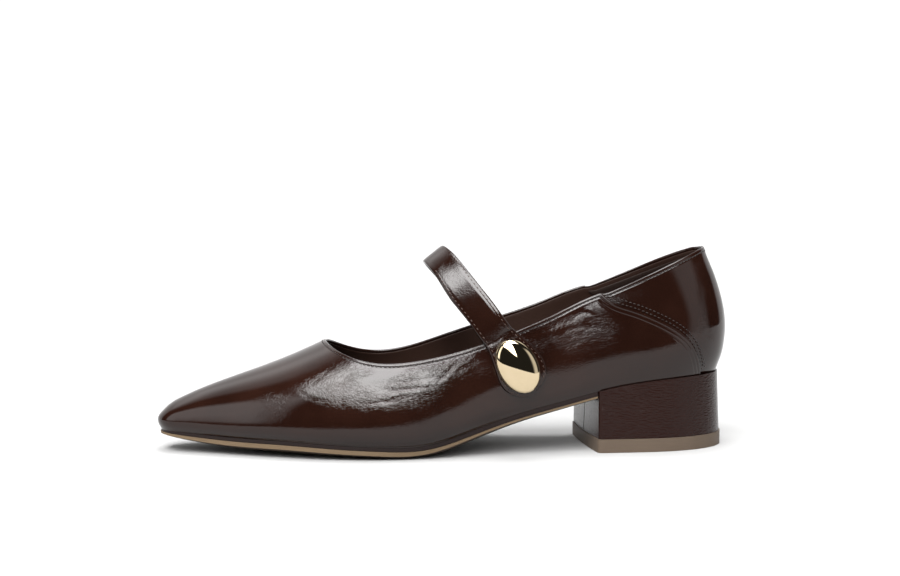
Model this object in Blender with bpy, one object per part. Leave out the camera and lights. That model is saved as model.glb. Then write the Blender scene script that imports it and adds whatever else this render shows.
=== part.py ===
import bpy
import numpy as np

MM = 0.001

# Main sizes of the left shoe: the toe points to -X and the outer side faces -Y
LENGTH = 257 * MM
BALL_WIDTH = 79 * MM
SEAT_HEIGHT = 34 * MM
INSTEP_HEIGHT = 92 * MM
WALL = 1.6 * MM
SIDE_SHIFT = BALL_WIDTH * 0.01432
CLEARANCE = 0.3 * MM

# Closing of the last at both ends
NOSE_DEPTH = LENGTH * 0.031
NOSE_TUCK = LENGTH * 0.005
BACK_DEPTH = LENGTH * 0.148
TOE_AXIS = NOSE_DEPTH * 4 - LENGTH / 2
BACK_AXIS = LENGTH / 2 - BACK_DEPTH
SIDE_TURN = BALL_WIDTH * 0.127
NOSE_POWER = 2.6
BACK_POWER = 2.2

# Quarter laid over the counter
SEAM_STEP = WALL * 0.5
SEAM_FADE = LENGTH * 0.11
FOLD_RISE = WALL * 0.3

# Sole, insole and heel
SOLE_THICKNESS = 4.0 * MM
INSOLE_THICKNESS = WALL * 1.4
INSOLE_INSET = CLEARANCE * 4
SOLE_DIP = SOLE_THICKNESS * 0.35
DIP_FADE = LENGTH * 0.07
MIDSOLE_INSET = CLEARANCE
OUTSOLE_INSET = 0.0
TREAD_SHARE = 0.16
BREAST_AT = 0.7510
BREAST_TWIST = 0.0125
BREAST_BULGE = CLEARANCE * 3
BREAST_GAP = CLEARANCE * 1.7
CORNER = WALL * 1.1
HEEL_FLARE = CLEARANCE * 4
HEEL_GROW = CLEARANCE * 2
TOP_PIECE_HEIGHT = SEAT_HEIGHT * 0.176
TOP_PIECE_LIP = CLEARANCE * 1.5

# Strap and button
STRAP_THICKNESS = WALL * 1.1
STRAP_WIDTH = 12.4 * MM
BUTTON_LENGTH = STRAP_WIDTH * 1.97
BUTTON_WIDTH = STRAP_WIDTH * 1.41
BUTTON_HEIGHT = STRAP_WIDTH * 0.45
BUTTON_AT = 0.6130
BUTTON_UP = 0.1536

SECTION_COLUMNS = (
    "at", "outer", "inner", "floor", "girth", "outer_tuck", "inner_tuck", "ridge", "crest", "side", "top",
)
SECTIONS = (
    (0.00, 0.240, 0.240, 0.300, 0.110, 0.035, 0.035, 0.195, 0.00, 2.0, 2.0),
    (0.06, 0.390, 0.380, 0.272, 0.110, 0.050, 0.050, 0.276, 0.00, 2.0, 2.0),
    (0.14, 0.600, 0.570, 0.240, 0.120, 0.060, 0.060, 0.359, 0.02, 2.0, 2.0),
    (0.22, 0.808, 0.770, 0.230, 0.130, 0.065, 0.065, 0.439, 0.03, 2.0, 2.0),
    (0.30, 0.955, 0.920, 0.203, 0.140, 0.065, 0.065, 0.536, 0.05, 2.0, 2.0),
    (0.38, 1.015, 0.960, 0.174, 0.155, 0.070, 0.085, 0.640, 0.06, 2.0, 2.0),
    (0.46, 0.990, 0.850, 0.182, 0.180, 0.085, 0.140, 0.760, 0.06, 2.1, 2.0),
    (0.54, 0.910, 0.720, 0.350, 0.220, 0.100, 0.160, 0.900, 0.06, 2.2, 2.0),
    (0.62, 0.810, 0.610, 0.545, 0.200, 0.075, 0.095, 1.040, 0.05, 2.1, 2.0),
    (0.70, 0.742, 0.585, 0.700, 0.165, 0.047, 0.050, 1.150, 0.03, 1.8, 1.9),
    (0.78, 0.720, 0.628, 0.850, 0.245, 0.045, 0.048, 1.230, 0.01, 1.5, 1.8),
    (0.88, 0.704, 0.669, 0.955, 0.350, 0.049, 0.049, 1.270, 0.00, 1.3, 1.6),
    (1.00, 0.695, 0.695, 1.000, 0.450, 0.055, 0.055, 1.300, 0.00, 1.2, 1.5),
)

BACK_COLUMNS = ("up", "setback")
BACK = (
    (0.85, 0.0210),
    (1.00, 0.0155),
    (1.21, 0.0058),
    (1.39, 0.0016),
    (1.60, 0.0000),
    (1.93, 0.0058),
    (2.16, 0.0144),
    (2.30, 0.0210),
    (2.48, 0.0311),
    (2.63, 0.0385),
)

TOPLINE_COLUMNS = ("at", "up")
OUTER_TOPLINE = (
    (0.2895, 0.1872),
    (0.2975, 0.1825),
    (0.3066, 0.1778),
    (0.3385, 0.1658),
    (0.3767, 0.1588),
    (0.4276, 0.1603),
    (0.5078, 0.1755),
    (0.6160, 0.2105),
    (0.6770, 0.2354),
    (0.7540, 0.2703),
    (0.7620, 0.2724),
    (0.7700, 0.2730),
    (0.7790, 0.2758),
    (0.8182, 0.2912),
    (0.8726, 0.3136),
    (0.9176, 0.3318),
    (0.9500, 0.3445),
)
INNER_TOPLINE = (
    (0.2895, 0.1872),
    (0.2975, 0.1820),
    (0.3066, 0.1765),
    (0.3385, 0.1618),
    (0.3767, 0.1538),
    (0.4185, 0.1560),
    (0.5039, 0.1815),
    (0.6160, 0.2200),
    (0.6829, 0.2443),
    (0.7540, 0.2713),
    (0.7620, 0.2728),
    (0.7700, 0.2732),
    (0.7790, 0.2758),
    (0.8182, 0.2908),
    (0.8726, 0.3126),
    (0.9176, 0.3318),
    (0.9500, 0.3445),
)
COLLAR_BACK_UP = 0.3480

SEAM_COLUMNS = ("at", "up")
SEAM = (
    (0.7792, 0.2588),
    (0.8135, 0.2458),
    (0.8515, 0.2311),
    (0.8833, 0.2155),
    (0.9055, 0.2000),
    (0.9222, 0.1805),
    (0.9322, 0.1600),
)

# Grid of the upper: feather and topline positions of a column, and how many columns lead up to it
COLUMN_COLUMNS = ("feather", "topline", "count")
COLUMNS = (
    (0.0000, 0.2895, 0),
    (0.0500, 0.2910, 5),
    (0.2000, 0.3000, 8),
    (0.3400, 0.3600, 8),
    (0.5000, 0.4800, 8),
    (0.7000, 0.6300, 7),
    (0.9400, 0.7620, 9),
    (0.9410, 0.7626, 1),
    (1.0000, 1.0000, 9),
)
UPPER_ROWS = 13
ROW_POWER = 1.2

SOLE_COLUMNS = ("at", "brown", "tan", "drop")
SOLE = (
    (0.00, 0.18, 0.16, 0.10),
    (0.05, 0.33, 0.30, 0.25),
    (0.12, 0.38, 0.42, 0.45),
    (0.25, 0.40, 0.42, 0.75),
    (0.34, 0.42, 0.42, 0.85),
    (0.44, 0.44, 0.40, 0.85),
    (0.52, 0.48, 0.28, 0.75),
    (0.60, 0.52, 0.18, 0.60),
    (0.76, 0.50, 0.15, 0.45),
)

# Strap from the rounded tab, over the instep, to the end inside the inner wall
STRAP_COLUMNS = ("at", "across", "up", "width", "lay", "lift", "lean")
STRAP = (
    (0.6426, -0.79, 0.1087, 0.30, 1.0, 1.0, 0.00),
    (0.6409, -0.79, 0.1117, 0.70, 1.0, 1.0, 0.00),
    (0.6378, -0.79, 0.1171, 1.12, 1.0, 1.0, 0.00),
    (0.6334, -0.79, 0.1249, 1.45, 1.0, 1.0, 0.00),
    (0.6265, -0.80, 0.1366, 1.72, 1.0, 1.0, 0.00),
    (0.6197, -0.80, 0.1485, 1.76, 1.0, 1.0, 0.00),
    (0.6099, -0.80, 0.1653, 1.59, 1.0, 1.0, 0.00),
    (0.6003, -0.79, 0.1803, 1.37, 1.0, 1.0, 0.00),
    (0.5890, -0.78, 0.1967, 1.16, 1.0, 1.0, 0.00),
    (0.5804, -0.785, 0.2068, 1.09, 0.6, 1.0, 0.00),
    (0.5578, -0.72, 0.2383, 1.08, 0.0, 1.0, 0.00),
    (0.5255, -0.55, 0.2801, 1.10, 0.0, 1.0, 0.02),
    (0.4995, -0.30, 0.3175, 1.01, 0.0, 1.0, 0.20),
    (0.4842, 0.00, 0.3338, 0.94, 0.0, 1.0, 0.25),
    (0.4910, 0.28, 0.3245, 0.90, 0.0, 1.0, 0.20),
    (0.5200, 0.47, 0.2920, 0.88, 0.0, 0.0, 0.20),
    (0.5550, 0.56, 0.2500, 0.90, 0.4, -1.0, 0.20),
    (0.5780, 0.57, 0.2220, 0.90, 1.0, -1.0, 0.20),
    (0.5980, 0.58, 0.1880, 0.90, 1.0, -1.0, 0.20),
    (0.6130, 0.58, 0.1560, 0.90, 1.0, -1.0, 0.20),
)
STRAP_ROWS = 34
STRAP_LEAN = (0.781, 0.0, 0.592)
TAB_LEAN = (0.869, 0.0, 0.495)
BUTTON_TILT = 5.6


class Curve:
    """A smooth curve through the given values, straight beyond its ends."""

    def __init__(self, along, values):
        self.along = np.array(along, float)
        self.values = np.array(values, float)
        count = len(self.along)
        gap = np.diff(self.along)
        slope = np.diff(self.values) / gap
        matrix = np.eye(count)
        target = np.zeros(count)
        for i in range(1, count - 1):
            matrix[i, i - 1 : i + 2] = gap[i - 1], 2 * (gap[i - 1] + gap[i]), gap[i]
            target[i] = 6 * (slope[i] - slope[i - 1])
        self.bend = np.linalg.solve(matrix, target)
        bend = self.bend
        self.first = slope[0] - gap[0] * bend[1] / 6
        self.last = slope[-1] + gap[-1] * bend[-2] / 6

    def __call__(self, place):
        place = np.asarray(place, float)
        along, values, bend = self.along, self.values, self.bend
        inside = np.clip(place, along[0], along[-1])
        i = np.clip(np.searchsorted(along, inside) - 1, 0, len(along) - 2)
        gap = along[i + 1] - along[i]
        a = (along[i + 1] - inside) / gap
        b = 1 - a
        value = a * values[i] + b * values[i + 1]
        value = value + ((a**3 - a) * bend[i] + (b**3 - b) * bend[i + 1]) * gap**2 / 6
        before = np.minimum(place - along[0], 0) * self.first
        after = np.maximum(place - along[-1], 0) * self.last
        return value + before + after


def along_x(at):
    return (np.asarray(at, float) - 0.5) * LENGTH


def read_table(rows, names, scales):
    """One curve per column, over the shoe's length, each in its own size."""
    values = np.array(rows, float)
    x = along_x(values[:, 0])
    return {name: Curve(x, values[:, k] * scales.get(name, 1.0)) for k, name in enumerate(names) if k}


HALF = BALL_WIDTH / 2
SECTION = read_table(
    SECTIONS,
    SECTION_COLUMNS,
    {
        "outer": HALF,
        "inner": HALF,
        "floor": SEAT_HEIGHT,
        "girth": SEAT_HEIGHT,
        "outer_tuck": HALF,
        "inner_tuck": HALF,
        "ridge": INSTEP_HEIGHT,
        "crest": HALF,
    },
)
SOLE_CURVE = read_table(SOLE, SOLE_COLUMNS, {"brown": SOLE_THICKNESS, "tan": SOLE_THICKNESS, "drop": SOLE_THICKNESS})
BACK_X = Curve([row[0] * SEAT_HEIGHT for row in BACK], [LENGTH / 2 - row[1] * LENGTH for row in BACK])


def field(points):
    """Below zero inside the last and above zero outside it."""
    x, y, z = points[..., 0], points[..., 1], points[..., 2]
    size = {name: curve(x) for name, curve in SECTION.items()}
    girth = size["floor"] + size["girth"]
    height = np.clip((z - girth) / np.maximum(size["ridge"] - girth, CLEARANCE), 0, None)
    below = np.clip((girth - z) / size["girth"], 0, 1.6)
    off = y - size["crest"] * np.clip(height, 0, 1) ** 1.5
    turn = 0.5 + 0.5 * np.tanh(off / SIDE_TURN)
    width = size["outer"] * (1 - turn) + size["inner"] * turn
    tuck = (size["outer_tuck"] * (1 - turn) + size["inner_tuck"] * turn) * below**2
    side = np.abs(off) / np.maximum(width - tuck, CLEARANCE)
    nose = np.clip((NOSE_TUCK * below**2 - LENGTH / 2 + NOSE_DEPTH - x) / NOSE_DEPTH, 0, None)
    back = np.clip((x - BACK_X(z) + BACK_DEPTH) / BACK_DEPTH, 0, None)
    ring = (side**NOSE_POWER + nose**NOSE_POWER) ** (1 / NOSE_POWER)
    front = ring ** size["side"] + height ** size["top"] - 1
    narrow = np.maximum(1 - np.clip(height, 0, 0.999) ** size["top"], 1e-6) ** (1 / size["side"])
    rear = ((side / narrow) ** BACK_POWER + back**BACK_POWER) ** (1 / BACK_POWER) - 1
    return np.where(x < 0, front, rear)


def reach(start, through, far=3.0, steps=60, halvings=40):
    """Points where rays from start, through the second points, leave the last."""
    ray = through - start
    marks = np.linspace(0, far, steps)
    outside = np.stack([field(start + ray * mark) > 0 for mark in marks])
    k = np.where(outside.any(axis=0), np.argmax(outside, axis=0), steps - 1)
    low, high = marks[np.maximum(k - 1, 0)], marks[k]
    for _ in range(halvings):
        middle = (low + high) / 2
        inside = field(start + ray * middle[..., None]) < 0
        low, high = np.where(inside, middle, low), np.where(inside, high, middle)
    return start + ray * ((low + high) / 2)[..., None]


def wall_point(x, z, side):
    """The last's surface at x and z, on the side given as -1 for outer or 1 for inner."""
    x, z = np.broadcast_arrays(np.asarray(x, float), np.asarray(z, float))
    girth = SECTION["floor"](x) + SECTION["girth"](x)
    height = np.clip((z - girth) / np.maximum(SECTION["ridge"](x) - girth, CLEARANCE), 0, 1)
    middle = SECTION["crest"](x) * height**1.5
    start = np.stack([x, middle, z], -1)
    return reach(start, start + np.array([0.0, side * BALL_WIDTH, 0.0]), far=1.0)


def outward(points):
    """Unit normals of the last at these points."""
    step = CLEARANCE / 6
    slope = np.stack([field(points + step * axis) - field(points - step * axis) for axis in np.eye(3)], -1)
    return slope / np.maximum(np.linalg.norm(slope, axis=-1, keepdims=True), 1e-9)


def lengths(points):
    """Distance along a row of points, from 0."""
    return np.concatenate([[0], np.cumsum(np.linalg.norm(np.diff(points, axis=0), axis=1))])


def spread(points, places):
    """Points at these distances along the row of points."""
    along = lengths(points)
    return np.stack([np.interp(places, along, points[:, k]) for k in range(3)], -1)


def smooth_step(value):
    value = np.clip(value, 0, 1)
    return value * value * (3 - 2 * value)


def feather_half(side, count=120):
    """The feather edge from the toe tip to the middle of the back, on one side."""
    quarter = np.linspace(0, np.pi / 2, count // 3)
    toe, heel = TOE_AXIS, BACK_AXIS
    x = np.concatenate([np.full(len(quarter), toe), np.linspace(toe, heel, count)[1:-1], np.full(len(quarter), heel)])
    straight = np.full(count - 2, np.pi / 2)
    turn = np.concatenate([np.pi - quarter, straight, quarter[::-1]])
    ray = np.stack([np.cos(turn), side * np.sin(turn), 0 * turn], -1) * HALF
    start = np.stack([x, 0 * x, SECTION["floor"](x)], -1)
    for _ in range(5):
        found = reach(start, start + ray)
        start[:, 2] = SECTION["floor"](found[:, 0])
    return reach(start, start + ray)


def topline_half(rows, side, count=240):
    """The top edge from the throat to the middle of the back, on one side."""
    values = np.array(rows, float) * LENGTH
    steps = lengths(values)
    place = steps[-1] * (0.5 - 0.5 * np.cos(np.linspace(0, np.pi, count)))
    x = Curve(steps, values[:, 0])(place) - LENGTH / 2
    z = Curve(steps, values[:, 1])(place)
    z = np.minimum(z, SECTION["ridge"](x))
    z[0] = SECTION["ridge"](x[0])
    points = wall_point(x, z, side)
    points[0, 1] = SECTION["crest"](x[0])
    up = COLLAR_BACK_UP * LENGTH
    end = np.array([BACK_X(up), 0.0, up])
    share = smooth_step(np.linspace(0, 1, 24))[1:]
    last = points[-1]
    guess = last + (end - last) * share[:, None]
    start = np.stack([0 * share + BACK_AXIS, 0 * share, guess[:, 2]], -1)
    back = reach(start, guess)
    back[-1] = end
    return np.vstack([points, back])


def seam_line(top, foot, side, places):
    """The edge of the quarter from the topline down to the feather, at shares of its length."""
    middle = np.array(SEAM, float) * LENGTH
    x = np.concatenate([[top[0]], middle[:, 0] - LENGTH / 2, [foot[0]]])
    z = np.concatenate([[top[2]], middle[:, 1], [foot[2]]])
    steps = lengths(np.stack([x, z], -1))
    place = np.linspace(0, steps[-1], 80)
    points = wall_point(Curve(steps, x)(place), Curve(steps, z)(place), side)
    points[0], points[-1] = top, foot
    return spread(points[::-1], places * lengths(points)[-1])


def upper_half(feather, topline, side, places):
    """Columns of points on the last from toe and throat to the back, and the place of the seam column."""
    table = np.array(COLUMNS, float)
    feather_along, topline_along = lengths(feather), lengths(topline)
    feet = np.interp(along_x(table[:, 0]), feather[:, 0], feather_along)
    tops = np.interp(along_x(table[:, 1]), topline[:, 0], topline_along)
    feet[-1], tops[-1] = feather_along[-1], topline_along[-1]
    ends = np.cumsum(table[:, 2])
    number = np.arange(int(ends[-1]) + 1)
    foot = spread(feather, np.interp(number, ends, feet))
    top = spread(topline, np.interp(number, ends, tops))
    seam = int(ends[-3])
    dense = np.linspace(0, 1, 40)
    guess = foot[:, None] + (top - foot)[:, None] * dense[None, :, None]
    line = seam_line(top[seam], foot[seam], side, dense)
    before = smooth_step((number - ends[-4]) / (ends[-3] - ends[-4]))
    after = smooth_step((ends[-1] - number) / (ends[-1] - ends[-3]))
    weight = np.where(number <= seam, before, after)
    weight[seam + 1] = 1.0
    guess = guess + weight[:, None, None] * (line - guess[seam])[None]
    x = np.clip(guess[..., 0], TOE_AXIS, BACK_AXIS)
    low = SECTION["floor"](x) + NOSE_DEPTH
    share = smooth_step((guess[..., 0] - along_x(0.27)) / (along_x(0.46) - along_x(0.27)))
    start = np.stack([x, 0 * x, low + (guess[..., 2] - low) * share], -1)
    found = reach(start, guess)
    found[:, 0], found[:, -1] = foot, top
    return np.stack([spread(column, places * lengths(column)[-1]) for column in found]), seam


def add_object(name, points, faces, colour, roughness, metallic=0.0, smooth=True):
    mesh = bpy.data.meshes.new(name)
    placed = points + np.array([0.0, SIDE_SHIFT, 0.0])
    mesh.from_pydata([tuple(p) for p in placed], [], [tuple(f) for f in faces])
    mesh.validate()
    mesh.update()
    obj = bpy.data.objects.new(name, mesh)
    bpy.context.scene.collection.objects.link(obj)
    material = bpy.data.materials.new(name)
    material.use_nodes = True
    shader = material.node_tree.nodes["Principled BSDF"]
    shader.inputs["Base Color"].default_value = (*colour, 1.0)
    shader.inputs["Roughness"].default_value = roughness
    shader.inputs["Metallic"].default_value = metallic
    mesh.materials.append(material)
    if smooth:
        mesh.shade_smooth()
    return obj


def ring_faces(rings, flip=False):
    """Quads between closed rings of point numbers."""
    faces = []
    for first, second in zip(rings[:-1], rings[1:]):
        for i in range(len(first)):
            j = (i + 1) % len(first)
            quad = (first[i], first[j], second[j], second[i])
            faces.append(quad[::-1] if flip else quad)
    return faces


def closed_rings(rings):
    """Points and faces of a tube whose rings run round the section and back to the first ring."""
    count = len(rings[0])
    numbers = [np.arange(count) + k * count for k in range(len(rings))]
    faces = ring_faces([*numbers, numbers[0]])
    return np.vstack(rings), faces


def make_upper():
    places = np.linspace(0, 1, UPPER_ROWS) ** ROW_POWER
    halves = []
    for side, rows in ((-1, OUTER_TOPLINE), (1, INNER_TOPLINE)):
        halves.append(upper_half(feather_half(side), topline_half(rows, side), side, places))
    seam = halves[0][1]
    outer, inner = halves[0][0], halves[1][0]
    grid = np.concatenate([outer, inner[-2:0:-1]])
    count = len(outer)
    number = np.arange(len(grid))
    number = np.minimum(number, len(grid) - number)
    normal = outward(grid)
    normal[:, 0, 2] = 0
    normal /= np.linalg.norm(normal, axis=-1, keepdims=True)
    middle = UPPER_ROWS // 2
    along = lengths(outer[:, middle])
    behind = along - along[seam]
    depth = np.where(np.arange(count) > seam, SEAM_STEP * (1 - smooth_step(behind / SEAM_FADE)), 0.0)
    drop = depth[number][:, None, None] * normal
    outside = grid - drop
    inside = outside - normal * WALL
    lip = (outside[:, -1] + inside[:, -1]) / 2
    lip[:, 2] += FOLD_RISE
    rings = [outside[:, k] for k in range(UPPER_ROWS)] + [lip]
    rings += [inside[:, k] for k in range(UPPER_ROWS - 1, -1, -1)]
    points, faces = closed_rings(rings)
    add_object("upper", points, faces, (0.030, 0.012, 0.008), 0.18)


def edge_line(side, inset):
    """The feather edge on one side, moved in by the inset."""
    points = feather_half(side)
    ahead = np.gradient(points[:, :2], axis=0)
    ahead /= np.linalg.norm(ahead, axis=1, keepdims=True)
    points[:, 0] -= side * ahead[:, 1] * inset * -1
    points[:, 1] += side * ahead[:, 0] * inset * -1
    return points


def run_between(line, first, last, count, ends):
    """Points along the line between two distances, closer together at the ends named."""
    share = np.linspace(0, 1, count)
    wave = np.sin(2 * np.pi * share) / (2 * np.pi)
    half = np.sin(np.pi * share) / np.pi
    if ends == "both":
        share = share - 0.6 * wave
    elif ends == "first":
        share = share - 0.6 * (half * (1 - share))
    else:
        share = share + 0.6 * (half * share)
    return spread(line, first + (last - first) * share)


def slab(name, outer, inner, across, top, bottom, colour, roughness, bottom_shift=None):
    """A closed plate through rows across the shoe, with its own upper and lower heights."""
    across = np.array(across)
    plan = outer[:, None] + (inner - outer)[:, None] * across[None, :, None]
    share = np.broadcast_to(across, plan.shape[:2])
    upper, lower = plan.copy(), plan.copy()
    if bottom_shift is not None:
        lower = lower + bottom_shift(lower, share)
    upper[..., 2] = top(upper[..., 0], share)
    lower[..., 2] = bottom(lower[..., 0], share)
    rows, columns = share.shape
    numbers = np.arange(rows * columns).reshape(rows, columns)
    under = numbers + rows * columns
    faces = []
    for i in range(rows - 1):
        for j in range(columns - 1):
            faces.append((numbers[i, j], numbers[i + 1, j], numbers[i + 1, j + 1], numbers[i, j + 1]))
            faces.append((under[i, j], under[i, j + 1], under[i + 1, j + 1], under[i + 1, j]))
    rim = [(i, 0) for i in range(rows)]
    rim += [(rows - 1, j) for j in range(1, columns)]
    rim += [(i, columns - 1) for i in range(rows - 2, -1, -1)]
    rim += [(0, j) for j in range(columns - 2, 0, -1)]
    for k, place in enumerate(rim):
        after = rim[(k + 1) % len(rim)]
        faces.append((numbers[place], under[place], under[after], numbers[after]))
    points = np.vstack([upper.reshape(-1, 3), lower.reshape(-1, 3)])
    return add_object(name, points, faces, colour, roughness)


def dip(x, share):
    """How far the middle of the last's bottom sits below its feather edge."""
    end = smooth_step((LENGTH / 2 - np.abs(x)) / DIP_FADE)
    return SOLE_DIP * end * (1 - (2 * share - 1) ** 2)


def breast_x(side):
    return along_x(BREAST_AT - side * BREAST_TWIST / 2)


def distance_at(line, x):
    return np.interp(x, line[:, 0], lengths(line))


def make_soles():
    floor = SECTION["floor"]
    brown, tan, drop = SOLE_CURVE["brown"], SOLE_CURVE["tan"], SOLE_CURVE["drop"]
    tip = WALL * 1.2

    def brown_top(x, share):
        return floor(x) - CLEARANCE - dip(x, share)

    def brown_bottom(x, share):
        return floor(x) - CLEARANCE - brown(x) - sag(x, share) * 0.5 - dip(x, share) * 0.5

    def sag(x, share):
        edge = np.clip((1 - (2 * share - 1) ** 2) / (1 - (1 - 2 * TREAD_SHARE) ** 2), 0, 1)
        return drop(x) * edge

    def tan_top(x, share):
        return brown_bottom(x, share) - CLEARANCE

    def tan_bottom(x, share):
        low = floor(x) - 2 * CLEARANCE - brown(x) - tan(x) - sag(x, share)
        return np.maximum(low, 0.0)

    for name, inset, top, bottom, colour, roughness in (
        ("midsole", MIDSOLE_INSET, brown_top, brown_bottom, (0.045, 0.022, 0.017), 0.45),
        ("outsole", OUTSOLE_INSET, tan_top, tan_bottom, (0.42, 0.27, 0.16), 0.6),
    ):
        rows = []
        for side in (-1, 1):
            line = edge_line(side, inset)
            last = distance_at(line, breast_x(side) - BREAST_GAP)
            rows.append(run_between(line, tip, last, 40, "first"))
        across = (0, 0.06, TREAD_SHARE, 0.5, 1 - TREAD_SHARE, 0.94, 1)
        slab(name, rows[0], rows[1], across, top, bottom, colour, roughness)

    rows = []
    for side in (-1, 1):
        line = edge_line(side, WALL + INSOLE_INSET)
        total = lengths(line)[-1]
        rows.append(run_between(line, tip, total - tip, 44, "both"))
    slab(
        "insole",
        rows[0],
        rows[1],
        (0, 0.2, 0.5, 0.8, 1),
        lambda x, share: floor(x) + INSOLE_THICKNESS - dip(x, share),
        lambda x, share: floor(x) - dip(x, share),
        (0.020, 0.011, 0.008),
        0.8,
    )


def heel_rows(grow):
    rows = []
    for side in (-1, 1):
        line = edge_line(side, -grow)
        total = lengths(line)[-1]
        first = distance_at(line, breast_x(side))
        run = run_between(line, first + CORNER, total - CORNER, 15, "last")
        corner = spread(line, np.array([first + CORNER * 0.3]))
        face = spread(line, np.array([first]))
        corner[0, 1] -= side * CORNER * 0.3
        face[0, 1] -= side * CORNER
        rows.append(np.vstack([face, corner, run]))
    return rows


def make_heel():
    floor = SECTION["floor"]
    across = (0, 0.25, 0.5, 0.75, 1)

    def bulge(points, share):
        moved = np.zeros_like(points)
        ahead = np.array([-BREAST_BULGE, -BREAST_BULGE * 0.7] + [0.0] * (len(points) - 2))
        moved[..., 0] = ahead[:, None] * (1 - (2 * share - 1) ** 2)
        back = smooth_step((points[..., 0] - along_x(0.9)) / (LENGTH * 0.1))
        moved[..., 0] += back * HEEL_FLARE
        return moved

    outer, inner = heel_rows(HEEL_GROW)
    slab(
        "heel",
        outer,
        inner,
        across,
        lambda x, share: floor(np.minimum(x, along_x(1.0))) - CLEARANCE - dip(x, share),
        lambda x, share: TOP_PIECE_HEIGHT + CLEARANCE + 0 * x,
        (0.040, 0.017, 0.013),
        0.4,
        bulge,
    )
    outer, inner = heel_rows(HEEL_GROW + TOP_PIECE_LIP)
    for rows in (outer, inner):
        rows[0, 0] -= TOP_PIECE_LIP
        back = smooth_step((rows[:, 0] - along_x(0.9)) / (LENGTH * 0.1))
        rows[:, 0] += back * HEEL_FLARE
    slab(
        "top_piece",
        outer,
        inner,
        across,
        lambda x, share: TOP_PIECE_HEIGHT + 0 * x,
        lambda x, share: 0 * x,
        (0.22, 0.16, 0.11),
        0.6,
    )


def make_strap():
    table = np.array(STRAP, float)
    centre = np.stack([along_x(table[:, 0]), table[:, 1] * HALF, table[:, 2] * LENGTH], -1)
    steps = lengths(centre)
    place = np.linspace(0, steps[-1], STRAP_ROWS)
    place = np.sort(np.concatenate([place, steps[1:3], [steps[2] / 2, steps[3] * 0.7 + steps[2] * 0.3]]))
    keep = np.concatenate([[True], np.diff(place) > WALL * 0.4])
    place = place[keep]
    spine = np.stack([Curve(steps, centre[:, k])(place) for k in range(3)], -1)
    width = np.interp(place, steps, table[:, 3]) * STRAP_WIDTH
    lay = smooth_step(np.interp(place, steps, table[:, 4]))
    lift = np.interp(place, steps, table[:, 5])
    lean = np.array(STRAP_LEAN) + (np.array(TAB_LEAN) - STRAP_LEAN) * (lay * (lift > 0))[:, None]
    lean[:, 1] += np.interp(place, steps, table[:, 6])
    lean /= np.linalg.norm(lean, axis=1, keepdims=True)
    across = np.array([-0.5, -0.46, -0.2, 0.2, 0.46, 0.5])
    sheet = spine[:, None] + lean[:, None] * (width[:, None] * across[None])[..., None]
    side = np.where(lift > 0, -1.0, 1.0)
    wall = np.stack([wall_point(row[:, 0], row[:, 2], s) for row, s in zip(sheet, side)])
    normal = outward(wall)
    gap = np.where(lift > 0, CLEARANCE, -(WALL + CLEARANCE + STRAP_THICKNESS))
    laid = wall + normal * gap[:, None, None]
    low = sheet + (laid - sheet) * lay[:, None, None]
    along = np.gradient(low, axis=0)
    facing = np.cross(along, lean[:, None])
    facing /= np.linalg.norm(facing, axis=-1, keepdims=True)
    facing = facing * np.where((facing * normal).sum(-1, keepdims=True).mean() < 0, -1, 1)
    thin = np.array([0.22, 0.0, 0.0, 0.0, 0.0, 0.22])
    bottom = low + facing * (STRAP_THICKNESS * thin)[None, :, None]
    top = low + facing * (STRAP_THICKNESS * (1 - thin))[None, :, None]
    rows, columns = low.shape[:2]
    rings = np.concatenate([top, bottom[:, ::-1]], axis=1)
    count = columns * 2
    numbers = [np.arange(count) + k * count for k in range(rows)]
    faces = ring_faces(numbers)
    for ring, flip in ((numbers[0], True), (numbers[-1], False)):
        for j in range(columns - 1):
            quad = (ring[j], ring[j + 1], ring[count - 2 - j], ring[count - 1 - j])
            faces.append(quad if not flip else quad[::-1])
    points = rings.reshape(-1, 3)
    add_object("strap", points, outward_faces(points, faces), (0.030, 0.012, 0.008), 0.18)


def outward_faces(points, faces):
    """The faces, all turned round when the body they close is inside out."""
    volume = 0.0
    for face in faces:
        p = points[list(face)]
        for k in range(1, len(face) - 1):
            volume += np.dot(p[0], np.cross(p[k], p[k + 1]))
    return faces if volume > 0 else [face[::-1] for face in faces]


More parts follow.
